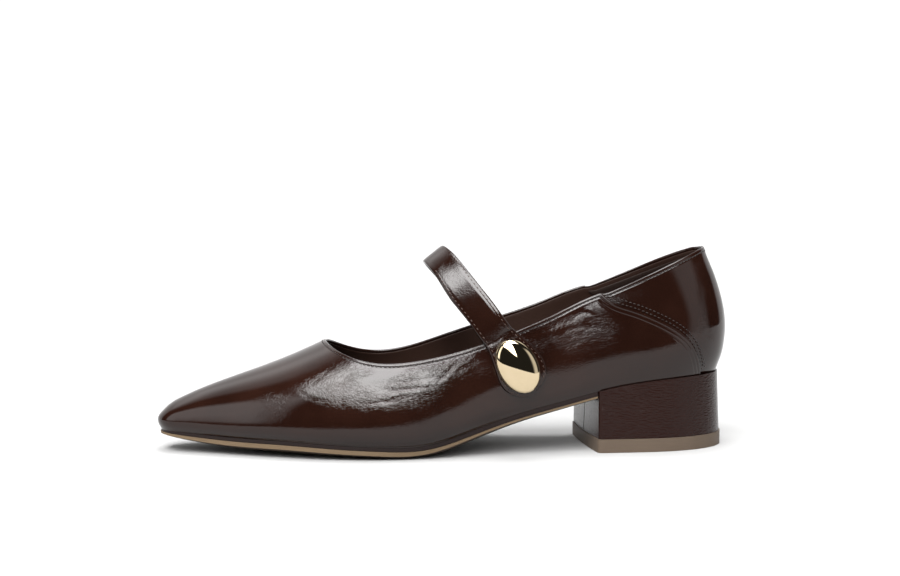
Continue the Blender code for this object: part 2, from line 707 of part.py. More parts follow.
def make_button():
    tilt = np.radians(BUTTON_TILT)
    normal = np.array([0.0, -np.cos(tilt), np.sin(tilt)])
    wide_way = np.array(TAB_LEAN) - normal * (normal @ TAB_LEAN)
    wide_way /= np.linalg.norm(wide_way)
    long_way = np.cross(wide_way, normal)
    x, z = along_x(BUTTON_AT), BUTTON_UP * LENGTH
    centre = wall_point(np.array([x]), np.array([z]), -1)
    base_lift = CLEARANCE * 2.4 + STRAP_THICKNESS
    turn = np.linspace(0, 2 * np.pi, 28, endpoint=False)
    flat = np.cos(turn)[:, None] * long_way * BUTTON_LENGTH / 2 + np.sin(turn)[:, None] * wide_way * BUTTON_WIDTH / 2
    rings = []
    for size, rise in ((0.94, 0.0), (1.0, 0.06), (1.0, 0.40), (0.97, 0.54), (0.88, 0.70), (0.62, 0.87), (0.32, 0.965)):
        spot = centre + flat * size
        foot = wall_point(spot[:, 0], spot[:, 2], -1)
        foot = foot + outward(foot) * base_lift
        level = centre + normal * base_lift + flat * size
        blend = smooth_step(rise / 0.5)
        rings.append(foot + (level - foot) * blend + normal * BUTTON_HEIGHT * rise)
    count = len(turn)
    points = np.vstack([*rings, centre + normal * (base_lift + BUTTON_HEIGHT), centre + normal * base_lift])
    numbers = [np.arange(count) + k * count for k in range(len(rings))]
    faces = ring_faces(numbers)
    cap, back = len(points) - 2, len(points) - 1
    for i in range(count):
        j = (i + 1) % count
        faces.append((numbers[-1][i], numbers[-1][j], cap))
        faces.append((numbers[0][j], numbers[0][i], back))
    add_object("button", points, outward_faces(points, faces), (0.72, 0.52, 0.28), 0.12, 1.0)


for old in list(bpy.data.objects):
    bpy.data.objects.remove(old)
make_upper()
make_soles()
make_heel()
make_strap()
make_button()
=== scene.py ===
"""Looks of the mary jane pump: patent leather upper and strap, domed button, wrapped heel and sole edges."""

import bmesh
import bpy
import numpy as np
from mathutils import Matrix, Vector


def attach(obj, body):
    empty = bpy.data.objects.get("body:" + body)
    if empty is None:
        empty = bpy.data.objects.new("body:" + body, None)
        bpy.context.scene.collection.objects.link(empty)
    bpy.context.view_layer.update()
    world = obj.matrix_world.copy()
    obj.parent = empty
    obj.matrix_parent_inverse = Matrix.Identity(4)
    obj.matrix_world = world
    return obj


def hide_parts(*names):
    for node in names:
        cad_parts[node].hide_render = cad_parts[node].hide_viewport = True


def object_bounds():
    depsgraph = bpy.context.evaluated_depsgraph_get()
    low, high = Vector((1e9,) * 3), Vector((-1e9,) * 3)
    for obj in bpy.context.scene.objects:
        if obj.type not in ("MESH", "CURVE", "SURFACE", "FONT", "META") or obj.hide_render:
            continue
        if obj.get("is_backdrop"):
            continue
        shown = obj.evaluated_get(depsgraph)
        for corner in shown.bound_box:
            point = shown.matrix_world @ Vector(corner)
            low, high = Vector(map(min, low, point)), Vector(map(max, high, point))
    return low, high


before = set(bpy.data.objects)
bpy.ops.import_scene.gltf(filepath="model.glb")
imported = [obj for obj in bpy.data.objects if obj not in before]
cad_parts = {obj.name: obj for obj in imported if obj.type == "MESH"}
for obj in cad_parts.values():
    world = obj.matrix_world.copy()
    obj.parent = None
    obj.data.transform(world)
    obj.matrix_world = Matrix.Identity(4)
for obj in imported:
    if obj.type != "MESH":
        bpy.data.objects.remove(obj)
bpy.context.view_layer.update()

MM = 0.001

# Main sizes of the left shoe: the toe points to -X and the outer side faces -Y
LENGTH = 257 * MM
BALL_WIDTH = 79 * MM
SEAT_HEIGHT = 34 * MM
INSTEP_HEIGHT = 92 * MM
WALL = 1.6 * MM
SIDE_SHIFT = BALL_WIDTH * 0.01432
CLEARANCE = 0.3 * MM

# Closing of the last at both ends
NOSE_DEPTH = LENGTH * 0.031
NOSE_TUCK = LENGTH * 0.005
BACK_DEPTH = LENGTH * 0.148
TOE_AXIS = NOSE_DEPTH * 4 - LENGTH / 2
BACK_AXIS = LENGTH / 2 - BACK_DEPTH
SIDE_TURN = BALL_WIDTH * 0.127
NOSE_POWER = 2.6
BACK_POWER = 2.2

# Quarter laid over the counter
SEAM_STEP = WALL * 0.5
SEAM_FADE = LENGTH * 0.11

# Sole, insole and heel
SOLE_THICKNESS = 4.0 * MM
INSOLE_THICKNESS = WALL * 1.4
INSOLE_INSET = CLEARANCE * 4
SOLE_DIP = SOLE_THICKNESS * 0.35
DIP_FADE = LENGTH * 0.07
MIDSOLE_INSET = CLEARANCE
OUTSOLE_INSET = 0.0
TREAD_SHARE = 0.16
BREAST_AT = 0.7510
BREAST_TWIST = 0.0125
BREAST_BULGE = CLEARANCE * 3
BREAST_GAP = CLEARANCE * 1.7
CORNER = WALL * 1.1
HEEL_FLARE = CLEARANCE * 4
HEEL_GROW = CLEARANCE * 2
TOP_PIECE_HEIGHT = SEAT_HEIGHT * 0.176
TOP_PIECE_LIP = CLEARANCE * 1.5

# Strap and button
STRAP_THICKNESS = WALL * 1.1
STRAP_WIDTH = 12.4 * MM
BUTTON_LENGTH = STRAP_WIDTH * 1.97
BUTTON_WIDTH = STRAP_WIDTH * 1.41
BUTTON_HEIGHT = STRAP_WIDTH * 0.45
BUTTON_AT = 0.6130
BUTTON_UP = 0.1536

SECTION_COLUMNS = (
    "at", "outer", "inner", "floor", "girth", "outer_tuck", "inner_tuck", "ridge", "crest", "side", "top",
)
SECTIONS = (
    (0.00, 0.240, 0.240, 0.300, 0.110, 0.035, 0.035, 0.195, 0.00, 2.0, 2.0),
    (0.06, 0.390, 0.380, 0.272, 0.110, 0.050, 0.050, 0.276, 0.00, 2.0, 2.0),
    (0.14, 0.600, 0.570, 0.240, 0.120, 0.060, 0.060, 0.359, 0.02, 2.0, 2.0),
    (0.22, 0.808, 0.770, 0.230, 0.130, 0.065, 0.065, 0.439, 0.03, 2.0, 2.0),
    (0.30, 0.955, 0.920, 0.203, 0.140, 0.065, 0.065, 0.536, 0.05, 2.0, 2.0),
    (0.38, 1.015, 0.960, 0.174, 0.155, 0.070, 0.085, 0.640, 0.06, 2.0, 2.0),
    (0.46, 0.990, 0.850, 0.182, 0.180, 0.085, 0.140, 0.760, 0.06, 2.1, 2.0),
    (0.54, 0.910, 0.720, 0.350, 0.220, 0.100, 0.160, 0.900, 0.06, 2.2, 2.0),
    (0.62, 0.810, 0.610, 0.545, 0.200, 0.075, 0.095, 1.040, 0.05, 2.1, 2.0),
    (0.70, 0.742, 0.585, 0.700, 0.165, 0.047, 0.050, 1.150, 0.03, 1.8, 1.9),
    (0.78, 0.720, 0.628, 0.850, 0.245, 0.045, 0.048, 1.230, 0.01, 1.5, 1.8),
    (0.88, 0.704, 0.669, 0.955, 0.350, 0.049, 0.049, 1.270, 0.00, 1.3, 1.6),
    (1.00, 0.695, 0.695, 1.000, 0.450, 0.055, 0.055, 1.300, 0.00, 1.2, 1.5),
)

# Line of the back. Columns: up, setback
BACK = (
    (0.85, 0.0210), (1.00, 0.0155), (1.21, 0.0058), (1.39, 0.0016),
    (1.60, 0.0000), (1.93, 0.0058), (2.16, 0.0144), (2.30, 0.0210),
    (2.48, 0.0311), (2.63, 0.0385),
)

# Toplines. Columns: at, up
OUTER_TOPLINE = (
    (0.2895, 0.1872), (0.2975, 0.1825), (0.3066, 0.1778), (0.3385, 0.1658),
    (0.3767, 0.1588), (0.4276, 0.1603), (0.5078, 0.1755), (0.6160, 0.2105),
    (0.6770, 0.2354), (0.7540, 0.2703), (0.7620, 0.2724), (0.7700, 0.2730),
    (0.7790, 0.2758), (0.8182, 0.2912), (0.8726, 0.3136), (0.9176, 0.3318),
    (0.9500, 0.3445),
)
INNER_TOPLINE = (
    (0.2895, 0.1872), (0.2975, 0.1820), (0.3066, 0.1765), (0.3385, 0.1618),
    (0.3767, 0.1538), (0.4185, 0.1560), (0.5039, 0.1815), (0.6160, 0.2200),
    (0.6829, 0.2443), (0.7540, 0.2713), (0.7620, 0.2728), (0.7700, 0.2732),
    (0.7790, 0.2758), (0.8182, 0.2908), (0.8726, 0.3126), (0.9176, 0.3318),
    (0.9500, 0.3445),
)
COLLAR_BACK_UP = 0.3480

# Edge of the quarter. Columns: at, up
SEAM = (
    (0.7792, 0.2588), (0.8135, 0.2458), (0.8515, 0.2311), (0.8833, 0.2155),
    (0.9055, 0.2000), (0.9222, 0.1805), (0.9322, 0.1600),
)

# Grid of the upper. Columns: place on the feather, place on the topline, how many columns lead up to it
COLUMNS = (
    (0.0000, 0.2895, 0), (0.0500, 0.2910, 5), (0.2000, 0.3000, 8),
    (0.3400, 0.3600, 8), (0.5000, 0.4800, 8), (0.7000, 0.6300, 7),
    (0.9400, 0.7620, 9), (0.9410, 0.7626, 1), (1.0000, 1.0000, 9),
)

SOLE_COLUMNS = ("at", "brown", "tan", "drop")
SOLE = (
    (0.00, 0.18, 0.16, 0.10),
    (0.05, 0.33, 0.30, 0.25),
    (0.12, 0.38, 0.42, 0.45),
    (0.25, 0.40, 0.42, 0.75),
    (0.34, 0.42, 0.42, 0.85),
    (0.44, 0.44, 0.40, 0.85),
    (0.52, 0.48, 0.28, 0.75),
    (0.60, 0.52, 0.18, 0.60),
    (0.76, 0.50, 0.15, 0.45),
)

# Strap from the tab, over the instep, to the end inside the inner wall.
# Columns: at, across, up, width, lay, lift, lean
STRAP = (
    (0.6426, -0.79, 0.1087, 0.30, 1.0, 1.0, 0.00),
    (0.6409, -0.79, 0.1117, 0.70, 1.0, 1.0, 0.00),
    (0.6378, -0.79, 0.1171, 1.12, 1.0, 1.0, 0.00),
    (0.6334, -0.79, 0.1249, 1.45, 1.0, 1.0, 0.00),
    (0.6265, -0.80, 0.1366, 1.72, 1.0, 1.0, 0.00),
    (0.6197, -0.80, 0.1485, 1.76, 1.0, 1.0, 0.00),
    (0.6099, -0.80, 0.1653, 1.59, 1.0, 1.0, 0.00),
    (0.6003, -0.79, 0.1803, 1.37, 1.0, 1.0, 0.00),
    (0.5890, -0.78, 0.1967, 1.16, 1.0, 1.0, 0.00),
    (0.5804, -0.785, 0.2068, 1.09, 0.6, 1.0, 0.00),
    (0.5578, -0.72, 0.2383, 1.08, 0.0, 1.0, 0.00),
    (0.5255, -0.55, 0.2801, 1.10, 0.0, 1.0, 0.02),
    (0.4995, -0.30, 0.3175, 1.01, 0.0, 1.0, 0.20),
    (0.4842, 0.00, 0.3338, 0.94, 0.0, 1.0, 0.25),
    (0.4910, 0.28, 0.3245, 0.90, 0.0, 1.0, 0.20),
    (0.5200, 0.47, 0.2920, 0.88, 0.0, 0.0, 0.20),
    (0.5550, 0.56, 0.2500, 0.90, 0.4, -1.0, 0.20),
    (0.5780, 0.57, 0.2220, 0.90, 1.0, -1.0, 0.20),
    (0.5980, 0.58, 0.1880, 0.90, 1.0, -1.0, 0.20),
    (0.6130, 0.58, 0.1560, 0.90, 1.0, -1.0, 0.20),
)
STRAP_LEAN = (0.781, 0.0, 0.592)
TAB_LEAN = (0.869, 0.0, 0.495)
BUTTON_TILT = 5.6


class Curve:
    """A smooth curve through the given values, straight beyond its ends."""

    def __init__(self, along, values):
        self.along = np.array(along, float)
        self.values = np.array(values, float)
        count = len(self.along)
        gap = np.diff(self.along)
        slope = np.diff(self.values) / gap
        matrix = np.eye(count)
        target = np.zeros(count)
        for i in range(1, count - 1):
            matrix[i, i - 1 : i + 2] = gap[i - 1], 2 * (gap[i - 1] + gap[i]), gap[i]
            target[i] = 6 * (slope[i] - slope[i - 1])
        self.bend = np.linalg.solve(matrix, target)
        bend = self.bend
        self.first = slope[0] - gap[0] * bend[1] / 6
        self.last = slope[-1] + gap[-1] * bend[-2] / 6

    def __call__(self, place):
        place = np.asarray(place, float)
        along, values, bend = self.along, self.values, self.bend
        inside = np.clip(place, along[0], along[-1])
        i = np.clip(np.searchsorted(along, inside) - 1, 0, len(along) - 2)
        gap = along[i + 1] - along[i]
        a = (along[i + 1] - inside) / gap
        b = 1 - a
        value = a * values[i] + b * values[i + 1]
        value = value + ((a**3 - a) * bend[i] + (b**3 - b) * bend[i + 1]) * gap**2 / 6
        before = np.minimum(place - along[0], 0) * self.first
        after = np.maximum(place - along[-1], 0) * self.last
        return value + before + after


def along_x(at):
    return (np.asarray(at, float) - 0.5) * LENGTH


def read_table(rows, names, scales):
    """One curve per column, over the shoe's length, each in its own size."""
    values = np.array(rows, float)
    x = along_x(values[:, 0])
    return {name: Curve(x, values[:, k] * scales.get(name, 1.0)) for k, name in enumerate(names) if k}


HALF = BALL_WIDTH / 2
SCALES = dict.fromkeys(("outer", "inner", "outer_tuck", "inner_tuck", "crest"), HALF)
SCALES.update(floor=SEAT_HEIGHT, girth=SEAT_HEIGHT, ridge=INSTEP_HEIGHT)
SECTION = read_table(SECTIONS, SECTION_COLUMNS, SCALES)
SOLE_CURVE = read_table(SOLE, SOLE_COLUMNS, dict.fromkeys(SOLE_COLUMNS, SOLE_THICKNESS))
BACK_X = Curve([row[0] * SEAT_HEIGHT for row in BACK], [LENGTH / 2 - row[1] * LENGTH for row in BACK])


def field(points):
    """Below zero inside the last and above zero outside it."""
    x, y, z = points[..., 0], points[..., 1], points[..., 2]
    size = {name: curve(x) for name, curve in SECTION.items()}
    girth = size["floor"] + size["girth"]
    height = np.clip((z - girth) / np.maximum(size["ridge"] - girth, CLEARANCE), 0, None)
    below = np.clip((girth - z) / size["girth"], 0, 1.6)
    off = y - size["crest"] * np.clip(height, 0, 1) ** 1.5
    turn = 0.5 + 0.5 * np.tanh(off / SIDE_TURN)
    width = size["outer"] * (1 - turn) + size["inner"] * turn
    tuck = (size["outer_tuck"] * (1 - turn) + size["inner_tuck"] * turn) * below**2
    side = np.abs(off) / np.maximum(width - tuck, CLEARANCE)
    nose = np.clip((NOSE_TUCK * below**2 - LENGTH / 2 + NOSE_DEPTH - x) / NOSE_DEPTH, 0, None)
    back = np.clip((x - BACK_X(z) + BACK_DEPTH) / BACK_DEPTH, 0, None)
    ring = (side**NOSE_POWER + nose**NOSE_POWER) ** (1 / NOSE_POWER)
    front = ring ** size["side"] + height ** size["top"] - 1
    narrow = np.maximum(1 - np.clip(height, 0, 0.999) ** size["top"], 1e-6) ** (1 / size["side"])
    rear = ((side / narrow) ** BACK_POWER + back**BACK_POWER) ** (1 / BACK_POWER) - 1
    return np.where(x < 0, front, rear)


def reach(start, through, far=3.0, steps=60, halvings=40):
    """Points where rays from start, through the second points, leave the last."""
    ray = through - start
    marks = np.linspace(0, far, steps)
    outside = np.stack([field(start + ray * mark) > 0 for mark in marks])
    k = np.where(outside.any(axis=0), np.argmax(outside, axis=0), steps - 1)
    low, high = marks[np.maximum(k - 1, 0)], marks[k]
    for _ in range(halvings):
        middle = (low + high) / 2
        inside = field(start + ray * middle[..., None]) < 0
        low, high = np.where(inside, middle, low), np.where(inside, high, middle)
    return start + ray * ((low + high) / 2)[..., None]


def wall_point(x, z, side):
    """The last's surface at x and z, on the side given as -1 for outer or 1 for inner."""
    x, z = np.broadcast_arrays(np.asarray(x, float), np.asarray(z, float))
    girth = SECTION["floor"](x) + SECTION["girth"](x)
    height = np.clip((z - girth) / np.maximum(SECTION["ridge"](x) - girth, CLEARANCE), 0, 1)
    middle = SECTION["crest"](x) * height**1.5
    start = np.stack([x, middle, z], -1)
    return reach(start, start + np.array([0.0, side * BALL_WIDTH, 0.0]), far=1.0)


def unit(vectors):
    return vectors / np.linalg.norm(vectors, axis=-1, keepdims=True)


def slope_of(points):
    """How fast the last's field grows along each axis."""
    step = CLEARANCE / 6
    growth = [field(points + step * axis) - field(points - step * axis) for axis in np.eye(3)]
    return np.stack(growth, -1) / (2 * step)


def outward(points):
    """Unit normals of the last at these points."""
    slope = slope_of(points)
    return slope / np.maximum(np.linalg.norm(slope, axis=-1, keepdims=True), 1e-9)


def lengths(points):
    """Distance along a row of points, from 0."""
    return np.concatenate([[0], np.cumsum(np.linalg.norm(np.diff(points, axis=0), axis=1))])


def between(places, along, points):
    """Points at these places, between points at the places in along."""
    return np.stack([np.interp(places, along, points[:, k]) for k in range(3)], -1)


def spread(points, places):
    """Points at these distances along the row of points."""
    return between(places, lengths(points), points)


def smooth_step(value):
    value = np.clip(value, 0, 1)
    return value * value * (3 - 2 * value)


def feather_half(side, count=120):
    """The feather edge from the toe tip to the middle of the back, on one side."""
    quarter = np.linspace(0, np.pi / 2, count // 3)
    toe, heel = TOE_AXIS, BACK_AXIS
    x = np.concatenate([np.full(len(quarter), toe), np.linspace(toe, heel, count)[1:-1], np.full(len(quarter), heel)])
    straight = np.full(count - 2, np.pi / 2)
    turn = np.concatenate([np.pi - quarter, straight, quarter[::-1]])
    ray = np.stack([np.cos(turn), side * np.sin(turn), 0 * turn], -1) * HALF
    start = np.stack([x, 0 * x, SECTION["floor"](x)], -1)
    for _ in range(5):
        found = reach(start, start + ray)
        start[:, 2] = SECTION["floor"](found[:, 0])
    return reach(start, start + ray)


def topline_half(rows, side, count=240):
    """The top edge from the throat to the middle of the back, on one side."""
    values = np.array(rows, float) * LENGTH
    steps = lengths(values)
    place = steps[-1] * (0.5 - 0.5 * np.cos(np.linspace(0, np.pi, count)))
    x = Curve(steps, values[:, 0])(place) - LENGTH / 2
    z = Curve(steps, values[:, 1])(place)
    z = np.minimum(z, SECTION["ridge"](x))
    z[0] = SECTION["ridge"](x[0])
    points = wall_point(x, z, side)
    points[0, 1] = SECTION["crest"](x[0])
    up = COLLAR_BACK_UP * LENGTH
    end = np.array([BACK_X(up), 0.0, up])
    share = smooth_step(np.linspace(0, 1, 24))[1:]
    last = points[-1]
    guess = last + (end - last) * share[:, None]
    start = np.stack([0 * share + BACK_AXIS, 0 * share, guess[:, 2]], -1)
    back = reach(start, guess)
    back[-1] = end
    return np.vstack([points, back])


def seam_line(top, foot, side, places):
    """The edge of the quarter from the topline down to the feather, at shares of its length."""
    middle = np.array(SEAM, float) * LENGTH
    x = np.concatenate([[top[0]], middle[:, 0] - LENGTH / 2, [foot[0]]])
    z = np.concatenate([[top[2]], middle[:, 1], [foot[2]]])
    steps = lengths(np.stack([x, z], -1))
    place = np.linspace(0, steps[-1], 80)
    points = wall_point(Curve(steps, x)(place), Curve(steps, z)(place), side)
    points[0], points[-1] = top, foot
    return spread(points[::-1], places * lengths(points)[-1])


# ---- Sizes that only the looks need
LEATHER = 0.75 * MM
LINING = 0.32 * MM
BENT = 5
# Creases. Columns: side, width, depth, and at, up of three points
CREASES = (
    (-1, 0.9, 0.16, 0.6913, 0.2101, 0.7190, 0.2165, 0.7709, 0.2167),
    (-1, 1.0, 0.18, 0.7048, 0.1864, 0.7429, 0.1960, 0.7914, 0.2021),
    (-1, 0.8, 0.14, 0.6817, 0.1767, 0.6995, 0.1831, 0.7255, 0.1912),
    (-1, 0.8, 0.12, 0.7143, 0.2333, 0.7283, 0.2415, 0.7488, 0.2363),
    (-1, 1.5, 0.30, 0.6220, 0.2040, 0.6720, 0.2180, 0.7350, 0.2440),
    (-1, 0.7, 0.12, 0.6876, 0.1951, 0.7136, 0.2014, 0.7534, 0.2060),
    (-1, 1.0, 0.15, 0.3619, 0.1279, 0.4262, 0.1317, 0.4821, 0.1380),
    (-1, 0.9, 0.15, 0.3679, 0.1212, 0.4148, 0.1185, 0.4684, 0.1244),
    (-1, 0.9, 0.12, 0.3349, 0.0961, 0.3924, 0.0999, 0.4425, 0.1130),
    (-1, 0.9, 0.14, 0.4785, 0.1291, 0.4991, 0.1500, 0.5197, 0.1660),
    (-1, 0.7, 0.10, 0.3375, 0.1581, 0.3447, 0.1416, 0.3586, 0.1294),
    (-1, 0.8, 0.10, 0.3125, 0.1601, 0.2921, 0.1444, 0.2685, 0.1254),
    (-1, 0.8, 0.10, 0.2484, 0.1124, 0.2685, 0.1024, 0.2984, 0.0986),
    (-1, 0.8, 0.12, 0.5075, 0.1466, 0.5296, 0.1561, 0.5536, 0.1656),
    (-1, 0.9, 0.14, 0.9366, 0.3325, 0.9465, 0.3134, 0.9424, 0.2968),
    (-1, 0.9, 0.16, 0.9424, 0.2968, 0.9440, 0.2750, 0.9343, 0.2465),
    (-1, 0.8, 0.12, 0.9343, 0.2465, 0.9383, 0.2174, 0.9347, 0.2005),
    (1, 1.0, 0.16, 0.3900, 0.1200, 0.4500, 0.1180, 0.5200, 0.1330),
    (1, 0.9, 0.13, 0.3500, 0.1100, 0.4200, 0.1050, 0.4900, 0.1160),
    (1, 0.9, 0.14, 0.4600, 0.1250, 0.4900, 0.1420, 0.5100, 0.1600),
    (1, 0.8, 0.12, 0.3000, 0.1500, 0.3150, 0.1350, 0.3400, 0.1230),
    (1, 1.0, 0.15, 0.6800, 0.1850, 0.7250, 0.1950, 0.7800, 0.1980),
    (1, 0.9, 0.13, 0.6900, 0.2080, 0.7300, 0.2140, 0.7650, 0.2120),
    (1, 0.9, 0.14, 0.9380, 0.3200, 0.9440, 0.2950, 0.9400, 0.2650),
)
# Patches of fine crinkle. Columns: side, at, up, length, height, strength
CRINKLES = (
    (-1, 0.375, 0.125, 0.120, 0.042, 1.00),
    (-1, 0.715, 0.207, 0.075, 0.030, 0.90),
    (-1, 0.600, 0.195, 0.130, 0.022, 0.70),
    (-1, 0.500, 0.155, 0.080, 0.024, 0.85),
    (-1, 0.205, 0.088, 0.040, 0.026, 0.55),
    (-1, 0.941, 0.265, 0.012, 0.080, 0.80),
    (-1, 0.952, 0.182, 0.020, 0.024, 0.70),
    (1, 0.400, 0.120, 0.130, 0.040, 0.95),
    (1, 0.720, 0.200, 0.090, 0.036, 0.95),
    (1, 0.600, 0.200, 0.120, 0.026, 0.70),
    (1, 0.230, 0.095, 0.040, 0.026, 0.45),
    (1, 0.941, 0.280, 0.014, 0.060, 0.70),
)
SMOOTH_SHARE = 0.08
CREASE_SHARE = 0.5


# ---- Shader maths
class Wire:
    """A node's output, which + - and * combine with numbers and other outputs."""

    def __init__(self, paint, socket):
        self.paint, self.socket = paint, socket

    def sum(self, kind, *values):
        return self.paint.node("ShaderNodeMath", {"operation": kind}, dict(enumerate(values)))

    def __add__(self, other):
        return self.sum("ADD", self, other)

    def __sub__(self, other):
        return self.sum("SUBTRACT", self, other)

    def __rsub__(self, other):
        return self.sum("SUBTRACT", other, self)

    def __mul__(self, other):
        return self.sum("MULTIPLY", self, other)

    __radd__ = __add__
    __rmul__ = __mul__

    def size(self):
        return self.sum("ABSOLUTE", self)

    def step(self, low, high):
        """0 below low, 1 above high and smooth between them."""
        settings = {"interpolation_type": "SMOOTHSTEP"}
        return self.paint.node("ShaderNodeMapRange", settings, {0: self, 1: low, 2: high, 3: 0.0, 4: 1.0})


class Paint:
    """The nodes of one material or of the world."""

    def __init__(self, owner):
        self.owner = owner
        owner.use_nodes = True
        self.tree = owner.node_tree
        self.tree.nodes.clear()

    def node(self, kind, settings=None, values=None, out=0):
        node = self.tree.nodes.new(kind)
        for name, value in (settings or {}).items():
            setattr(node, name, value)
        for name, value in (values or {}).items():
            if isinstance(value, Wire):
                self.tree.links.new(value.socket, node.inputs[name])
            else:
                node.inputs[name].default_value = value
        return Wire(self, node.outputs[out]) if node.outputs else None

    def place(self, stretch=(1, 1, 1), turn=(0, 0, 0), bend=None):
        """Object coordinates in metres, turned and then stretched."""
        spot = self.node("ShaderNodeTexCoord", out="Object")
        if bend is not None:
            spot = self.node("ShaderNodeVectorMath", {"operation": "ADD"}, {0: spot, 1: bend})
        turned = self.node("ShaderNodeMapping", None, {"Vector": spot, "Rotation": turn})
        return self.node("ShaderNodeVectorMath", {"operation": "MULTIPLY"}, {0: turned, 1: stretch})

    def noise(self, size, detail=2.0, rough=0.5, twist=0.0, **where):
        """Noise whose lumps are about this wide, in metres."""
        values = {"Vector": self.place(**where), "Scale": 1 / size, "Detail": detail}
        values |= {"Roughness": rough, "Distortion": twist}
        return self.node("ShaderNodeTexNoise", None, values)

    def cells(self, size, **where):
        """Distance from the borders of cells about this wide, in metres."""
        values = {"Vector": self.place(**where), "Scale": 1 / size, "Randomness": 1.0}
        return self.node("ShaderNodeTexVoronoi", {"feature": "DISTANCE_TO_EDGE"}, values)

    def colour(self, share, first, second):
        """From the first colour to the second as the share goes from 0 to 1."""
        settings = {"data_type": "RGBA", "clamp_factor": True}
        values = {0: share}
        for k, tint in ((6, first), (7, second)):
            values[k] = tint if isinstance(tint, Wire) else (*tint, 1.0)
        return self.node("ShaderNodeMix", settings, values, out=2)

    def bump(self, height, metres, base=None):
        values = {"Strength": 1.0, "Distance": metres, "Height": height}
        if base is not None:
            values["Normal"] = base
        return self.node("ShaderNodeBump", None, values)

    def mark(self, name):
        """A number that the mesh carries at each point."""
        return self.node("ShaderNodeAttribute", {"attribute_name": name}, out="Fac")

    def finish(self, **values):
        named = {key.replace("_", " "): value for key, value in values.items()}
        for key, value in named.items():
            if isinstance(value, tuple):
                named[key] = (*value, 1.0)
        shader = self.node("ShaderNodeBsdfPrincipled", None, named)
        self.node("ShaderNodeOutputMaterial", None, {"Surface": shader})
        return self.owner


def new_paint(name):
    return Paint(bpy.data.materials.new(name))


def patent_leather(name, dark, light, gloss, grain):
    """Crinkled patent leather: thin creases where the mesh says crinkle, and a fine skin all over."""
    paint = new_paint(name)
    crinkle = paint.mark("crinkle")
    flow = paint.noise(0.006, 2.0, stretch=(0.45, 1.0, 1.0), turn=(0, 0.25, 0))
    values = {"Vector": paint.place(), "Scale": 420.0, "Detail": 1.0}
    drift = paint.node("ShaderNodeTexNoise", None, values, out="Color")
    wander = paint.node("ShaderNodeVectorMath", {"operation": "SCALE"}, {0: drift, "Scale": 0.0012})
    fine = paint.noise(0.0008, 2.0, 0.6, 0.6, stretch=(0.7, 1, 1), turn=(0, 0.3, 0), bend=wander)
    broad = paint.noise(0.0028, 2.0, 0.55, 0.8, stretch=(0.3, 1, 1), turn=(0, 0.22, 0), bend=wander)
    cracks = paint.cells(0.0010, bend=wander, stretch=(0.62, 1.0, 1.0), turn=(0, 0.2, 0))
    folds = (fine - 0.5).size().step(0.0, 0.10)
    creases = (broad - 0.5).size().step(0.0, 0.07)
    amount = crinkle * (0.30 + 0.70 * flow.step(0.32, 0.62))
    skin = paint.noise(0.00035, 2.0)
    swell = paint.noise(0.012, 1.0)
    height = amount * (folds * 0.36 + creases * 0.42 + cracks.step(0.0, 0.20) * 0.80)
    height = height + swell * 0.30 + skin * grain
    worn = paint.noise(0.03, 3.0)
    return paint.finish(
        Base_Color=paint.colour(worn.step(0.35, 0.68), dark, light),
        Roughness=gloss + amount * 0.05 + skin * 0.02,
        Normal=paint.bump(height, 0.00005),
        Specular_IOR_Level=0.42,
        IOR=1.5,
    )


def grained_leather(name, dark, light, gloss, depth, shine, stretch=(1, 1, 1)):
    """Soft leather with a close grain."""
    paint = new_paint(name)
    grain = paint.noise(0.0009, 4.0, 0.65, 0.5, stretch=stretch)
    pores = paint.cells(0.0011, stretch=stretch)
    cloud = paint.noise(0.02, 3.0)
    height = grain * 0.7 + pores.step(0.0, 0.3) * 0.3
    return paint.finish(
        Base_Color=paint.colour(grain * 0.6 + cloud * 0.4, dark, light),
        Roughness=gloss + grain * 0.15,
        Normal=paint.bump(height, depth),
        Specular_IOR_Level=shine,
    )


def moulded_edge(name, dark, light, gloss, shine=0.3, under=None):
    """Rubber or built-up edge with fine scratches along it; where it faces down, the colour given as under paints in
    the shade beneath the sole.
    """
    paint = new_paint(name)
    drawn = paint.noise(0.0007, 3.0, 0.6, stretch=(0.08, 0.3, 1.0))
    specks = paint.noise(0.00045, 2.0)
    cloud = paint.noise(0.015, 3.0)
    colour = paint.colour((drawn + cloud) * 0.5, dark, light)
    # Painted shade: faces turned downwards take the darker colour, standing in for the shadow under the sole
    if under:
        facing = paint.node("ShaderNodeNewGeometry", out="Normal")
        level = paint.node("ShaderNodeSeparateXYZ", None, {0: facing}, out=2)
        colour = paint.colour(level.step(-0.75, -0.30), under, colour)
    return paint.finish(
        Base_Color=colour,
        Roughness=gloss + specks * 0.15,
        Normal=paint.bump(drawn * 0.7 + specks * 0.3, 0.00006),
        Specular_IOR_Level=shine,
    )


def polished_metal(name, tint, shade):
    paint = new_paint(name)
    haze = paint.noise(0.004, 3.0)
    hair = paint.noise(0.0004, 2.0, stretch=(1.0, 1.0, 0.15))
    return paint.finish(
        Base_Color=paint.colour(haze.step(0.3, 0.7), tint, shade),
        Metallic=1.0,
        Roughness=0.02 + hair * 0.02,
        Normal=paint.bump(haze * 0.4 + hair * 0.05, 0.00001),
    )


def waxed_thread(name, dark, light):
    paint = new_paint(name)
    twist = paint.noise(0.0003, 2.0, stretch=(1.0, 1.0, 0.4))
    return paint.finish(
        Base_Color=paint.colour(twist, dark, light),
        Roughness=0.35 + twist * 0.2,
        Normal=paint.bump(twist, 0.00005),
    )


